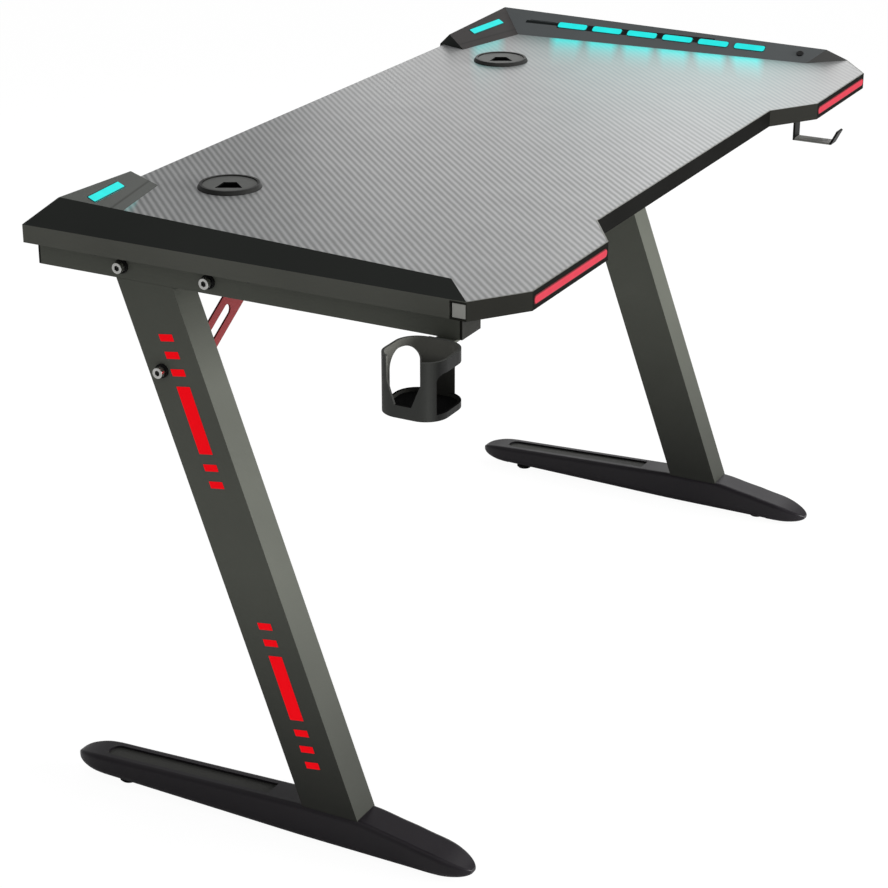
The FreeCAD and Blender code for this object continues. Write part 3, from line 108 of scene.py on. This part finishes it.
def product(tree, first, *others):
    for other in others:
        first = maths(tree, "MULTIPLY", first, other)
    return first


def ramp(tree, value, low, high, low_out, high_out):
    """A value carried from one range to another and held at its ends."""
    made = add(tree, "ShaderNodeMapRange")
    for socket, number in zip(made.inputs, (value, low, high, low_out, high_out)):
        put(tree, socket, number)
    return made.outputs[0]


def colour_mix(tree, share, first, second):
    made = add(tree, "ShaderNodeMix", data_type="RGBA")
    put(tree, made.inputs[0], share)
    put(tree, made.inputs[6], first)
    put(tree, made.inputs[7], second)
    return made.outputs[2]


def object_place(tree):
    return add(tree, "ShaderNodeTexCoord").outputs["Object"]


def object_axes(tree):
    split = add(tree, "ShaderNodeSeparateXYZ")
    put(tree, split.inputs[0], object_place(tree))
    return split.outputs


def slanted(tree, axes, across_x, across_y, offset=0.0):
    """A value that grows evenly across the plan: so much per metre of x and of y."""
    from_y = maths(tree, "MULTIPLY_ADD", axes[1], across_y, offset)
    return maths(tree, "MULTIPLY_ADD", axes[0], across_x, from_y)


def noise(tree, place, size, detail=2.0):
    """Soft noise whose features are about this many metres across."""
    made = add(tree, "ShaderNodeTexNoise")
    put(tree, made.inputs["Vector"], place)
    put(tree, made.inputs["Scale"], 1 / size)
    put(tree, made.inputs["Detail"], detail)
    return made.outputs[0]


def from_noise(tree, value, low_out, high_out):
    """Noise, which mostly keeps to its middle range, spread over this range."""
    return ramp(tree, value, 0.3, 0.7, low_out, high_out)


def bump(tree, height, depth, strength):
    made = add(tree, "ShaderNodeBump")
    put(tree, made.inputs["Height"], height)
    put(tree, made.inputs["Distance"], depth)
    put(tree, made.inputs["Strength"], strength)
    return made.outputs[0]


def linear(red, green, blue):
    """A colour written as it shows on a screen, 0 to 255, as linear light."""
    parts = (red / 255, green / 255, blue / 255)
    return tuple(((part + 0.055) / 1.055) ** 2.4 if part > 0.04 else part / 12.92 for part in parts)


def shade(colour, factor=1.0):
    return tuple(part * factor for part in colour) + (1.0,)


def blank(name):
    made = bpy.data.materials.new(name)
    made.use_nodes = True
    return made, made.node_tree, made.node_tree.nodes["Principled BSDF"]


# Finishes
def moulded(name, colour, roughness, specular=0.12, grain=0.5 * MM, relief=0.02 * MM, spread=0.1):
    """Moulded plastic or powder coat: a fine grain, soft colour drift and uneven gloss."""
    made, tree, shader = blank(name)
    place = object_place(tree)
    drift = noise(tree, place, 120 * MM)
    fine = noise(tree, place, grain, 3.0)
    tone = maths(tree, "ADD", product(tree, drift, 0.6), product(tree, fine, 0.4))
    low, high = shade(colour, 1 - spread), shade(colour, 1 + spread)
    put(tree, shader.inputs["Base Color"], colour_mix(tree, from_noise(tree, tone, 0.0, 1.0), low, high))
    put(tree, shader.inputs["Roughness"], from_noise(tree, drift, roughness - 0.05, roughness + 0.05))
    put(tree, shader.inputs["Normal"], bump(tree, fine, relief, 0.6))
    shader.inputs["Specular IOR Level"].default_value = specular
    return made


def paint_over(material, mask, colour, share=1.0):
    """Lays a colour over a finish, by this share where the mask, made in the finish's own tree, is 1."""
    tree = material.node_tree
    target = tree.nodes["Principled BSDF"].inputs["Base Color"]
    under = target.links[0].from_socket
    put(tree, target, colour_mix(tree, product(tree, mask(tree), share), under, shade(colour)))


def glow(material, colour, strength):
    """Paints a little glow into a finish, which shines by itself though it is no lamp."""
    shader = material.node_tree.nodes["Principled BSDF"]
    shader.inputs["Emission Color"].default_value = shade(colour)
    shader.inputs["Emission Strength"].default_value = strength


def metal(name, colour, roughness, hollow_reach=3 * MM):
    """Plated steel with fine turning marks, and painted shade in its sockets and corners."""
    made, tree, shader = blank(name)
    marks = noise(tree, object_place(tree), 0.4 * MM, 4.0)
    plate = colour_mix(tree, marks, shade(colour, 0.85), shade(colour, 1.1))
    hollow = add(tree, "ShaderNodeAmbientOcclusion", samples=8)
    put(tree, hollow.inputs["Distance"], hollow_reach)
    open_share = ramp(tree, hollow.outputs["AO"], 0.45, 0.9, 0.0, 1.0)
    put(tree, shader.inputs["Base Color"], colour_mix(tree, open_share, shade(colour, 0.05), plate))
    put(tree, shader.inputs["Roughness"], from_noise(tree, marks, roughness - 0.06, roughness + 0.08))
    put(tree, shader.inputs["Normal"], bump(tree, marks, 0.01 * MM, 0.4))
    shader.inputs["Metallic"].default_value = 1.0
    return made


def lit_lens(name, colour, strength):
    """A lit diffuser: dark by itself, its light nearly even, a little brighter in soft clouds."""
    made, tree, shader = blank(name)
    cloud = noise(tree, object_place(tree), 14 * MM)
    light = colour_mix(tree, from_noise(tree, cloud, 0.0, 1.0), shade(colour, 0.94), shade(colour, 1.04))
    put(tree, shader.inputs["Base Color"], shade(colour, 0.03))
    put(tree, shader.inputs["Emission Color"], light)
    shader.inputs["Emission Strength"].default_value = strength
    shader.inputs["Roughness"].default_value = 0.5
    shader.inputs["Specular IOR Level"].default_value = 0.05
    return made


CYAN = linear(38, 232, 228)
RED = linear(224, 60, 80)


def light_pool(tree, axes, start, along, away, half_width, reach, strength, pitch=1.0, count=1):
    """Light that a row of windows throws on the desk top: weak at the row's foot, then bright and fading out.
    The start is at the row's first window; along runs down the row and away from it over the desk top."""
    turn = along[0] * away[1] - along[1] * away[0]
    run_x, run_y = away[1] / turn, -away[0] / turn
    out_x, out_y = -along[1] / turn, along[0] / turn
    run = slanted(tree, axes, run_x, run_y, -start[0] * run_x - start[1] * run_y)
    out = slanted(tree, axes, out_x, out_y, -start[0] * out_x - start[1] * out_y)
    cell = maths(tree, "MULTIPLY_ADD", run, 1 / pitch, 0.5)
    after_first = maths(tree, "GREATER_THAN", cell, 0.0)
    before_last = maths(tree, "LESS_THAN", cell, float(count))
    beside = maths(tree, "ABSOLUTE", maths(tree, "SUBTRACT", maths(tree, "FRACT", cell), 0.5))
    soft = ramp(tree, product(tree, beside, pitch), 0.65 * half_width, 1.3 * half_width, 1.0, 0.0)
    fade = maths(tree, "EXPONENT", product(tree, maths(tree, "MAXIMUM", out, 0.0), -1 / reach))
    in_front = ramp(tree, out, -20 * MM, -5 * MM, 0.0, 1.0)
    rise = ramp(tree, out, 0.0, 14 * MM, 0.7, 1.0)
    return product(tree, after_first, before_last, soft, fade, in_front, rise, strength)


def window_light(tree, axes):
    """The pools of the right trim's windows, a weak haze round them, and the pools of the two corner pods."""
    row_along, row_away = (0.066, -0.998), (-0.92, -0.39)
    total = light_pool(
        tree, axes, start=(0.530, 0.158), along=row_along, away=row_away,
        half_width=24 * MM, reach=58 * MM, strength=0.95, pitch=WINDOW_PITCH, count=WINDOW_COUNT)
    haze = light_pool(
        tree, axes, start=(0.540, 0.0), along=row_along, away=row_away,
        half_width=190 * MM, reach=190 * MM, strength=0.17)
    right_pod = light_pool(
        tree, axes, start=(0.452, 0.252), along=(0.97, -0.22), away=(-0.89, -0.46),
        half_width=34 * MM, reach=80 * MM, strength=0.4)
    left_pod = light_pool(
        tree, axes, start=(-0.478, 0.247), along=(0.97, 0.22), away=(-0.86, -0.51),
        half_width=20 * MM, reach=18 * MM, strength=0.2)
    for pool in (haze, right_pod, left_pod):
        total = maths(tree, "MAXIMUM", total, pool)
    return total


def striped_laminate(name):
    """Grey laminate with slanted twill stripes, fine threads across them, a painted sheen towards its right
    end and the windows' light on it.
    """
    made, tree, shader = blank(name)
    place = object_place(tree)
    axes = object_axes(tree)
    lean, rise = math.cos(STRIPE_HEADING), math.sin(STRIPE_HEADING)
    across = slanted(tree, axes, lean, rise)
    along = slanted(tree, axes, rise, -lean)
    waver = product(tree, maths(tree, "SUBTRACT", noise(tree, place, 12 * MM), 0.5), 0.9)
    phase = maths(tree, "MULTIPLY_ADD", across, 2 * math.pi / STRIPE_PERIOD, waver)
    wave = maths(tree, "MULTIPLY_ADD", maths(tree, "SINE", phase), 0.5, 0.5)
    threads = maths(tree, "SINE", product(tree, along, 2 * math.pi / THREAD_PERIOD))
    thread = maths(tree, "MULTIPLY_ADD", threads, 0.5, 0.5)
    weave = maths(tree, "MULTIPLY_ADD", product(tree, thread, wave), 0.18, product(tree, wave, 0.82))
    # The stripes fade and their mean tone lightens towards the right end: a painted sheen
    print_share = ramp(tree, axes[0], STRIPE_FADE_START, STRIPE_FADE_END, 1.0, STRIPE_FADED_SHARE)
    painted_sheen_tone = ramp(tree, axes[0], STRIPE_FADE_START, STRIPE_FADE_END, 0.5, STRIPE_SHEEN_TONE)
    stripes = maths(tree, "MULTIPLY_ADD", maths(tree, "SUBTRACT", weave, 0.5), print_share, painted_sheen_tone)
    drift = from_noise(tree, noise(tree, place, 60 * MM), -0.06, 0.06)
    tone = maths(tree, "ADD", stripes, drift)
    print_colour = colour_mix(tree, tone, shade(linear(88, 89, 89)), shade(linear(136, 137, 137)))
    lit = window_light(tree, axes)
    put(tree, shader.inputs["Base Color"], colour_mix(tree, lit, print_colour, shade(CYAN, 0.1)))
    put(tree, shader.inputs["Emission Strength"], lit)
    shader.inputs["Emission Color"].default_value = shade(CYAN)
    put(tree, shader.inputs["Roughness"], ramp(tree, weave, 0.0, 1.0, 0.40, 0.32))
    put(tree, shader.inputs["Normal"], bump(tree, weave, 0.05 * MM, 0.25))
    return made


def window_gaps_and_groove_shade(tree):
    """Mask of the dark gaps between a trim's windows and of painted shade in the groove behind them, on
    either side.
    """
    axes = object_axes(tree)
    window_length = (lens_high.y - lens_low.y) - (WINDOW_COUNT - 1) * WINDOW_PITCH
    row_lean = (lens_high.x - lens_low.x - WINDOW_WIDTH_IN_PLAN) / ((WINDOW_COUNT - 1) * WINDOW_PITCH)
    middle_x = lens_low.x + WINDOW_MIDDLE_IN_PLAN
    middle_y = lens_high.y - window_length / 2
    from_middle = maths(tree, "SUBTRACT", maths(tree, "ABSOLUTE", axes[0]), middle_x)
    above = maths(tree, "MULTIPLY_ADD", maths(tree, "SUBTRACT", axes[1], middle_y), row_lean, from_middle)
    behind = ramp(tree, axes[1], lens_high.y - 1 * MM, lens_high.y + 1 * MM, 0.0, 1.0)
    lower_edge = ramp(tree, behind, 0.0, 1.0, GAP_LOW, GROOVE_LOW)
    upper_edge = ramp(tree, behind, 0.0, 1.0, GAP_HIGH, GROOVE_HIGH)
    in_height = product(tree, maths(tree, "GREATER_THAN", above, lower_edge),
                        maths(tree, "LESS_THAN", above, upper_edge))
    first, last = lens_high.y + GROOVE_REACH, lens_low.y + WINDOW_PITCH + window_length / 2
    return product(tree, in_height, maths(tree, "LESS_THAN", axes[1], first),
                   maths(tree, "GREATER_THAN", axes[1], last))


def pod_fold_shade(tree):
    """Mask of a painted shade line at the fold above the ledge along a pod's lower edge."""
    height = maths(tree, "SUBTRACT", object_axes(tree)[2], desk_top)
    return product(tree, ramp(tree, height, *FOLD_START, 0.0, 0.8), ramp(tree, height, *FOLD_END, 1.0, 0.0))


def low_on_leg(tree):
    """Mask of painted shade that grows down a leg, where the dark foot takes the light away."""
    height = object_axes(tree)[2]
    upper = ramp(tree, height, LEG_SHADE_TOP, LEG_SHADE_MIDDLE, 0.0, LEG_SHADE_STEP)
    lower = ramp(tree, height, LEG_SHADE_MIDDLE, LEG_SHADE_BOTTOM, 0.0, LEG_SHADE_STEP)
    return maths(tree, "ADD", upper, lower)


def facing(tree):
    """The three parts of the direction that a surface looks to."""
    split = add(tree, "ShaderNodeSeparateXYZ")
    put(tree, split.inputs[0], add(tree, "ShaderNodeNewGeometry").outputs["True Normal"])
    return split.outputs


def front_facing_shade(tree):
    """Mask of painted shade on the surfaces that look to the front of the desk."""
    return ramp(tree, facing(tree)[1], -0.55, -0.85, 0.0, 0.85)


def front_edge_shade(tree):
    """Mask of painted shade on the straight front edges, that hold the light bars, without the slanted ones.
    """
    return ramp(tree, facing(tree)[1], -0.9, -0.97, 0.0, 1.0)


def low_in_cup(tree):
    """Mask of painted shade on the lower part of the cup holder, where little light comes in."""
    height = cup_high.z - cup_low.z
    return ramp(tree, object_axes(tree)[2], cup_low.z + 0.75 * height, cup_low.z + 0.5 * height, 0.0, 1.0)


def hook_arm_sheen(tree):
    """Mask of a painted sheen on the level arm of the headset hook, between its stem and its raised tip."""
    axes = object_axes(tree)
    low = maths(tree, "LESS_THAN", axes[2], hook_low.z + HOOK_ARM_RISE)
    behind_tip = maths(tree, "GREATER_THAN", axes[1], hook_low.y + HOOK_TIP_REACH)
    before_stem = maths(tree, "LESS_THAN", axes[1], hook_high.y - HOOK_PLATE_REACH)
    return product(tree, low, behind_tip, before_stem)


laminate = striped_laminate("laminate_twill")
board_core = moulded("board_underside", linear(58, 56, 53), 0.6, grain=1.2 * MM, spread=0.25)
band_plastic = moulded("edge_band_plastic", linear(39, 39, 36), 0.5, specular=0.01)
# Painted shade: the band's straight front edges are darkened
paint_over(band_plastic, front_edge_shade, linear(10, 10, 9), 0.9)
# Painted highlight: the band's top faces are lighter than its sides
band_top_highlight = moulded("edge_band_painted_highlight", linear(104, 105, 100), 0.4)
plug_grey = moulded("plug_grey_plastic", linear(165, 165, 160), 0.5)
trim_black = moulded("trim_black_plastic", linear(37, 39, 37), 0.45, specular=0.06)
trim_skirt = moulded("trim_skirt_plastic", linear(84, 85, 79), 0.5)
trim_face = moulded("trim_face_plastic", linear(79, 82, 83), 0.45, specular=0.08)
# Painted shade: the front nose is a darker tone of the trim face plastic
trim_nose_shaded = moulded("trim_nose_plastic", linear(51, 51, 50), 0.45, specular=0.08)
# Dark gaps between the windows, and painted shade in the groove behind them
paint_over(trim_face, window_gaps_and_groove_shade, linear(8, 14, 14))
# The pod faces share one plastic, painted in a lit tone on the left and a shaded tone on the right, each with
# a painted shade line at its fold
left_pod_face_lit = moulded("left_pod_face_plastic", linear(60, 62, 59), 0.45, specular=0.08)
paint_over(left_pod_face_lit, pod_fold_shade, linear(34, 34, 31))
right_pod_face_shaded = moulded("right_pod_face_plastic", linear(34, 31, 30), 0.45, specular=0.06)
paint_over(right_pod_face_shaded, pod_fold_shade, linear(16, 15, 14))
cyan_light = lit_lens("cyan_lit_lens", CYAN, 1.0)
red_light = lit_lens("red_lit_lens", RED, 1.0)
cyan_rim = moulded("cyan_lens_dark_rim", linear(16, 66, 66), 0.5)
red_rim = moulded("red_lens_dark_rim", linear(110, 34, 40), 0.5)
led_tape = moulded("led_tape_white", linear(225, 225, 220), 0.6)
button_black = moulded("button_black_plastic", linear(14, 14, 14), 0.4)
grommet_black = moulded("grommet_black_plastic", linear(34, 34, 33), 0.42)
grommet_grey = moulded("grommet_grey_plastic", linear(80, 81, 79), 0.5)
# Painted shade: a black for hollows, the cup's floor and the grommet caps' slots and sides
hollow_shade_black = moulded("hollow_black_plastic", linear(10, 10, 10), 0.7, specular=0.03)
# Frame, leg fronts and leg sides share one paint; the legs get painted shade towards the feet, deeper on the
# sides
frame_paint, leg_front_shaded, leg_side_shaded = [
    moulded(part + "_powder_coat", linear(84, 86, 79), 0.5, grain=0.8 * MM, relief=0.03 * MM)
    for part in ("frame", "leg_front_shaded", "leg_side_shaded")]
paint_over(leg_front_shaded, low_on_leg, linear(18, 18, 16), 0.75)
paint_over(leg_side_shaded, low_on_leg, linear(14, 14, 12))
cap_black = moulded("cap_black_plastic", linear(32, 32, 29), 0.5, specular=0.06)
red_paint = moulded("brace_red_powder_coat", linear(126, 44, 46), 0.5, grain=0.8 * MM, relief=0.03 * MM)
STRIPE_RED = linear(226, 4, 18)
red_film_glowing = moulded("stripe_red_film", STRIPE_RED, 0.6, specular=0.05, grain=1.5 * MM, relief=0.005 * MM)
# Painted light: the printed red stripes glow a little, though they are no lamp
glow(red_film_glowing, STRIPE_RED, 0.45)
bright_steel = metal("bright_plated_steel", (0.62, 0.62, 0.6), 0.25, 5 * MM)
dark_steel = metal("dark_plated_steel", (0.06, 0.06, 0.06), 0.45)
collar_rubber = moulded("collar_black_rubber", linear(18, 18, 18), 0.65)
foot_plastic = moulded("foot_satin_plastic", linear(29, 26, 30), 0.38, specular=0.2, grain=0.7 * MM)
# Painted light: the groove's floor is a lighter tone of the foot plastic, as lit from above
foot_groove_lit = moulded("foot_groove_plastic", linear(52, 52, 50), 0.5, grain=0.7 * MM)
pad_rubber = moulded("glide_pad_rubber", linear(24, 24, 24), 0.75, grain=0.9 * MM, relief=0.05 * MM)
case_black = moulded("case_textured_plastic", linear(30, 30, 30), 0.6, grain=0.9 * MM, relief=0.06 * MM)
circuit_green = moulded("circuit_solder_mask", linear(20, 92, 48), 0.35, grain=2.5 * MM, spread=0.25)
cable_black = moulded("cable_sheath", linear(22, 22, 22), 0.5)
cup_plastic = moulded("cup_satin_plastic", linear(64, 65, 63), 0.42, specular=0.05)
# Painted shade: the cup's front-facing surfaces are darkened
paint_over(cup_plastic, front_facing_shade, linear(8, 8, 8))
# Painted light and shade: the inside is a lighter tone than the outside, darkened towards its floor
cup_inside_light_and_shade = moulded("cup_inside_plastic", linear(88, 88, 83), 0.5)
paint_over(cup_inside_light_and_shade, low_in_cup, linear(18, 18, 17), 0.8)
hook_paint = moulded("hook_powder_coat", linear(22, 22, 21), 0.42, specular=0.06, grain=0.8 * MM)
# Painted sheen: the hook's arm is lighter, and its top faces lighter still
paint_over(hook_paint, hook_arm_sheen, linear(120, 120, 116))
hook_top_sheen = moulded("painted_sheen_on_hook", linear(190, 190, 186), 0.35, specular=0.5, grain=0.8 * MM)

CORNERS = ["left_front", "left_back", "right_front", "right_back"]
FINISHES = {
    laminate: ["desktop_laminate"],
    board_core: ["desktop_board"],
    plug_grey: ["edge_plugs"],
    led_tape: ["trim_led_strips", "bar_led_strips"],
    button_black: ["light_button", "light_switch"],
    grommet_black: ["left_grommet_ring", "right_grommet_ring"],
    frame_paint: ["left_top_rail", "right_top_rail", "crossbeam", "cup_bracket"],
    cap_black: ["rail_end_caps"],
    red_paint: ["left_brace", "right_brace"],
    red_film_glowing: ["left_leg_stripes", "right_leg_stripes"],
    bright_steel: ["frame_bolts"],
    dark_steel: ["frame_nuts", "frame_screws", "trim_screws", "controller_screws", "cup_screws",
                 "hook_screws", "foot_bolts", "left_foot_bar", "right_foot_bar"] +
                [corner + "_glide_stud" for corner in CORNERS],
    collar_rubber: ["bolt_collars"],
    pad_rubber: [corner + "_glide_pad" for corner in CORNERS],
    case_black: ["controller_case", "controller_cover", "power_inlet", "cable_clips"],
    circuit_green: ["circuit_board"],
    cable_black: ["light_cables"],
}


def dress(name, *materials):
    slots = nodes[name].data.materials
    slots.clear()
    for material in materials:
        slots.append(material)


for material, names in FINISHES.items():
    for name in names:
        dress(name, material)


# Pieces whose sides have their own tones, several of them painted light and shade: each rule picks a face's
# slot from its normal and middle
def dress_sides(name, rule, *materials):
    dress(name, *materials)
    for polygon in nodes[name].data.polygons:
        polygon.material_index = rule(polygon.normal, polygon.center)


def trim_slot(side):
    """Slope, skirt, inner face with the windows and front nose of a side trim; the nose gets a painted shaded
    tone.
    """
    slope, skirt, face, nose = range(4)

    def rule(normal, middle):
        if middle.z < desk_top - 1.5 * MM or abs(normal.z) < 0.1:
            return skirt
        if normal.y < -0.3:
            return nose
        return face if normal.x * side < -0.2 else slope
    return rule


def pod_slot(normal, middle):
    """Body of a corner pod, and its face with the window, which carries the pod's painted light and shade."""
    return 1 if normal.y < -0.2 and normal.z > 0.2 else 0


def top_slot(normal, middle):
    """Body of a piece that ends at the desk top, and its top."""
    return 1 if normal.z > 0.9 and middle.z > desk_top - 1 * MM else 0


def foot_slot(normal, middle):
    """Body of a foot, and the floor of the groove in it, which gets painted light."""
    in_groove = abs(abs(middle.x) - FOOT_MIDDLE) < FOOT_GROOVE_HALF
    in_length = FOOT_GROOVE_FRONT < middle.y < FOOT_GROOVE_BACK
    return 1 if in_groove and in_length and normal.z > 0.5 else 0


def hook_slot(normal, middle):
    """Strip of the headset hook, and the top of its arm, which gets the brightest painted sheen."""
    return 1 if normal.z > 0.7 and middle.z < hook_low.z + HOOK_ARM_RISE else 0


def leg_slot(normal, middle):
    """Front and back of a leg, and its two sides, which get the deeper painted shade."""
    return 1 if abs(normal.x) > 0.7 else 0


def cup_slot(normal, middle):
    """Outside, inside and floor of the cup holder; the inside gets painted light and shade, the floor a
    painted black shade.
    """
    outside, inside, bottom = range(3)
    inwards = (cup_low + cup_high) / 2 - middle
    if normal.z > 0.5 and middle.z < (cup_low.z + cup_high.z) / 2:
        return bottom
    looks_in = inwards.x * normal.x + inwards.y * normal.y > 0
    return inside if looks_in and abs(normal.z) < 0.5 else outside


for side, sign, pod_face in (("left", -1, left_pod_face_lit), ("right", 1, right_pod_face_shaded)):
    dress_sides(side + "_side_trim", trim_slot(sign), trim_black, trim_skirt, trim_face, trim_nose_shaded)
    dress_sides(side + "_corner_pod", pod_slot, trim_black, pod_face)
    dress_sides(side + "_grommet_cap", top_slot, hollow_shade_black, grommet_grey)
    dress_sides(side + "_foot_cover", foot_slot, foot_plastic, foot_groove_lit)
    dress_sides(side + "_leg_column", leg_slot, leg_front_shaded, leg_side_shaded)
# The edge bands' top faces get the painted highlight
dress_sides("edge_bands", top_slot, band_plastic, band_top_highlight)
dress_sides("cup_holder", cup_slot, cup_plastic, cup_inside_light_and_shade, hollow_shade_black)
dress_sides("headset_hook", hook_slot, hook_paint, hook_top_sheen)


# Softened edges
EDGE_ROUNDING = {
    0.8 * MM: ["left_side_trim", "right_side_trim", "left_corner_pod", "right_corner_pod", "headset_hook",
               "cup_holder", "edge_plugs"],
    1.6 * MM: ["left_leg_column", "right_leg_column", "left_top_rail", "right_top_rail", "crossbeam"],
    0.5 * MM: ["edge_bands", "left_brace", "right_brace", "left_grommet_cap", "right_grommet_cap",
               "frame_bolts", "bolt_collars", "rail_end_caps", "controller_case", "controller_cover",
               "cup_bracket"],
}
LENS_RIM = 1.0 * MM
LENSES = {
    (cyan_light, cyan_rim): ["left_trim_lenses", "right_trim_lenses", "pod_lenses"],
    (red_light, red_rim): ["bar_light_lenses"],
}


def soften(name, width):
    """Round edges on a node, made by modifiers so that its own mesh stays as it is."""
    piece = nodes[name]
    weld = piece.modifiers.new("weld", "WELD")
    weld.merge_threshold = 0.005 * MM
    flat = piece.modifiers.new("flat_faces", "DECIMATE")
    flat.decimate_type = "DISSOLVE"
    flat.angle_limit = math.radians(0.5)
    flat.delimit = {"MATERIAL"}
    edge = piece.modifiers.new("round_edges", "BEVEL")
    edge.width = width
    edge.segments = 2
    edge.limit_method = "ANGLE"
    edge.angle_limit = math.radians(28)
    edge.use_clamp_overlap = True
    edge.harden_normals = False
    smooth = piece.modifiers.new("even_shading", "WEIGHTED_NORMAL")
    smooth.keep_sharp = False
    smooth.weight = 100
    return edge


for width, names in EDGE_ROUNDING.items():
    for name in names:
        soften(name, width)
for materials, names in LENSES.items():
    for name in names:
        dress(name, *materials)
        soften(name, LENS_RIM).material = 1


# Stage: floor, light and camera. The camera sees white, and the object a plain pale floor and sky.
FLOOR_HALF = 30.0
FLOOR_WHITE = 1.04
FLOOR_WHITE_SHARE = 0.92
SKY_WHITE = 1.0
SKY_LIGHT = 0.42


def camera_only(tree):
    return add(tree, "ShaderNodeLightPath").outputs["Is Camera Ray"]


def floor():
    size = FLOOR_HALF
    mesh = bpy.data.meshes.new("studio_floor")
    corners = [(-size, -size, 0), (size, -size, 0), (size, size, 0), (-size, size, 0)]
    mesh.from_pydata(corners, [], [(0, 1, 2, 3)])
    made = bpy.data.objects.new("studio_floor", mesh)
    bpy.context.scene.collection.objects.link(made)
    paint, tree, shader = blank("studio_floor_white")
    shader.inputs["Base Color"].default_value = (0.9, 0.9, 0.9, 1.0)
    shader.inputs["Roughness"].default_value = 0.9
    shader.inputs["Specular IOR Level"].default_value = 0.0
    white = add(tree, "ShaderNodeEmission")
    join = add(tree, "ShaderNodeMixShader")
    white.inputs["Strength"].default_value = FLOOR_WHITE
    put(tree, join.inputs[0], product(tree, camera_only(tree), FLOOR_WHITE_SHARE))
    tree.links.new(shader.outputs[0], join.inputs[1])
    tree.links.new(white.outputs[0], join.inputs[2])
    tree.links.new(join.outputs[0], tree.nodes["Material Output"].inputs[0])
    mesh.materials.append(paint)


def sky():
    world = bpy.data.worlds.new("studio")
    bpy.context.scene.world = world
    world.use_nodes = True
    tree = world.node_tree
    ground = tree.nodes["Background"]
    put(tree, ground.inputs["Strength"], ramp(tree, camera_only(tree), 0.0, 1.0, SKY_LIGHT, SKY_WHITE))
    ground.inputs["Color"].default_value = (1.0, 1.0, 1.0, 1.0)


def lamp(name, place, target, size, power):
    light = bpy.data.lights.new(name, "AREA")
    light.shape = "RECTANGLE"
    light.size, light.size_y = size
    light.energy = power
    made = bpy.data.objects.new(name, light)
    made.location = place
    made.rotation_mode = "QUATERNION"
    made.rotation_quaternion = (Vector(target) - Vector(place)).to_track_quat("-Z", "Y")
    bpy.context.scene.collection.objects.link(made)


def camera():
    data = bpy.data.cameras.new("photo_camera")
    data.sensor_width = 36.0
    data.lens = CAMERA_LENS
    data.clip_end = 200.0
    made = bpy.data.objects.new("photo_camera", data)
    made.location = CAMERA_PLACE
    across = math.cos(CAMERA_PITCH)
    ahead = Vector((math.cos(CAMERA_YAW) * across, math.sin(CAMERA_YAW) * across, math.sin(CAMERA_PITCH)))
    made.rotation_mode = "QUATERNION"
    made.rotation_quaternion = ahead.to_track_quat("-Z", "Y")
    bpy.context.scene.collection.objects.link(made)
    bpy.context.scene.camera = made


floor()
sky()
lamp("key_front", place=(0.9, -4.0, 1.4), target=(0.0, 0.0, 0.5), size=(2.2, 1.4), power=230.0)
lamp("top_left", place=(-0.5, 0.0, 2.6), target=(-0.3, 0.0, 0.73), size=(2.4, 2.0), power=17.0)
lamp("top_right", place=(1.7, 0.0, 1.9), target=(0.5, 0.0, 0.73), size=(1.4, 1.4), power=13.0)
lamp("side_right", place=(2.77, 0.85, 1.34), target=(0.4, 0.0, 0.73), size=(2.0, 1.0), power=9.0)
camera()
bpy.context.scene.view_settings.view_transform = "Standard"
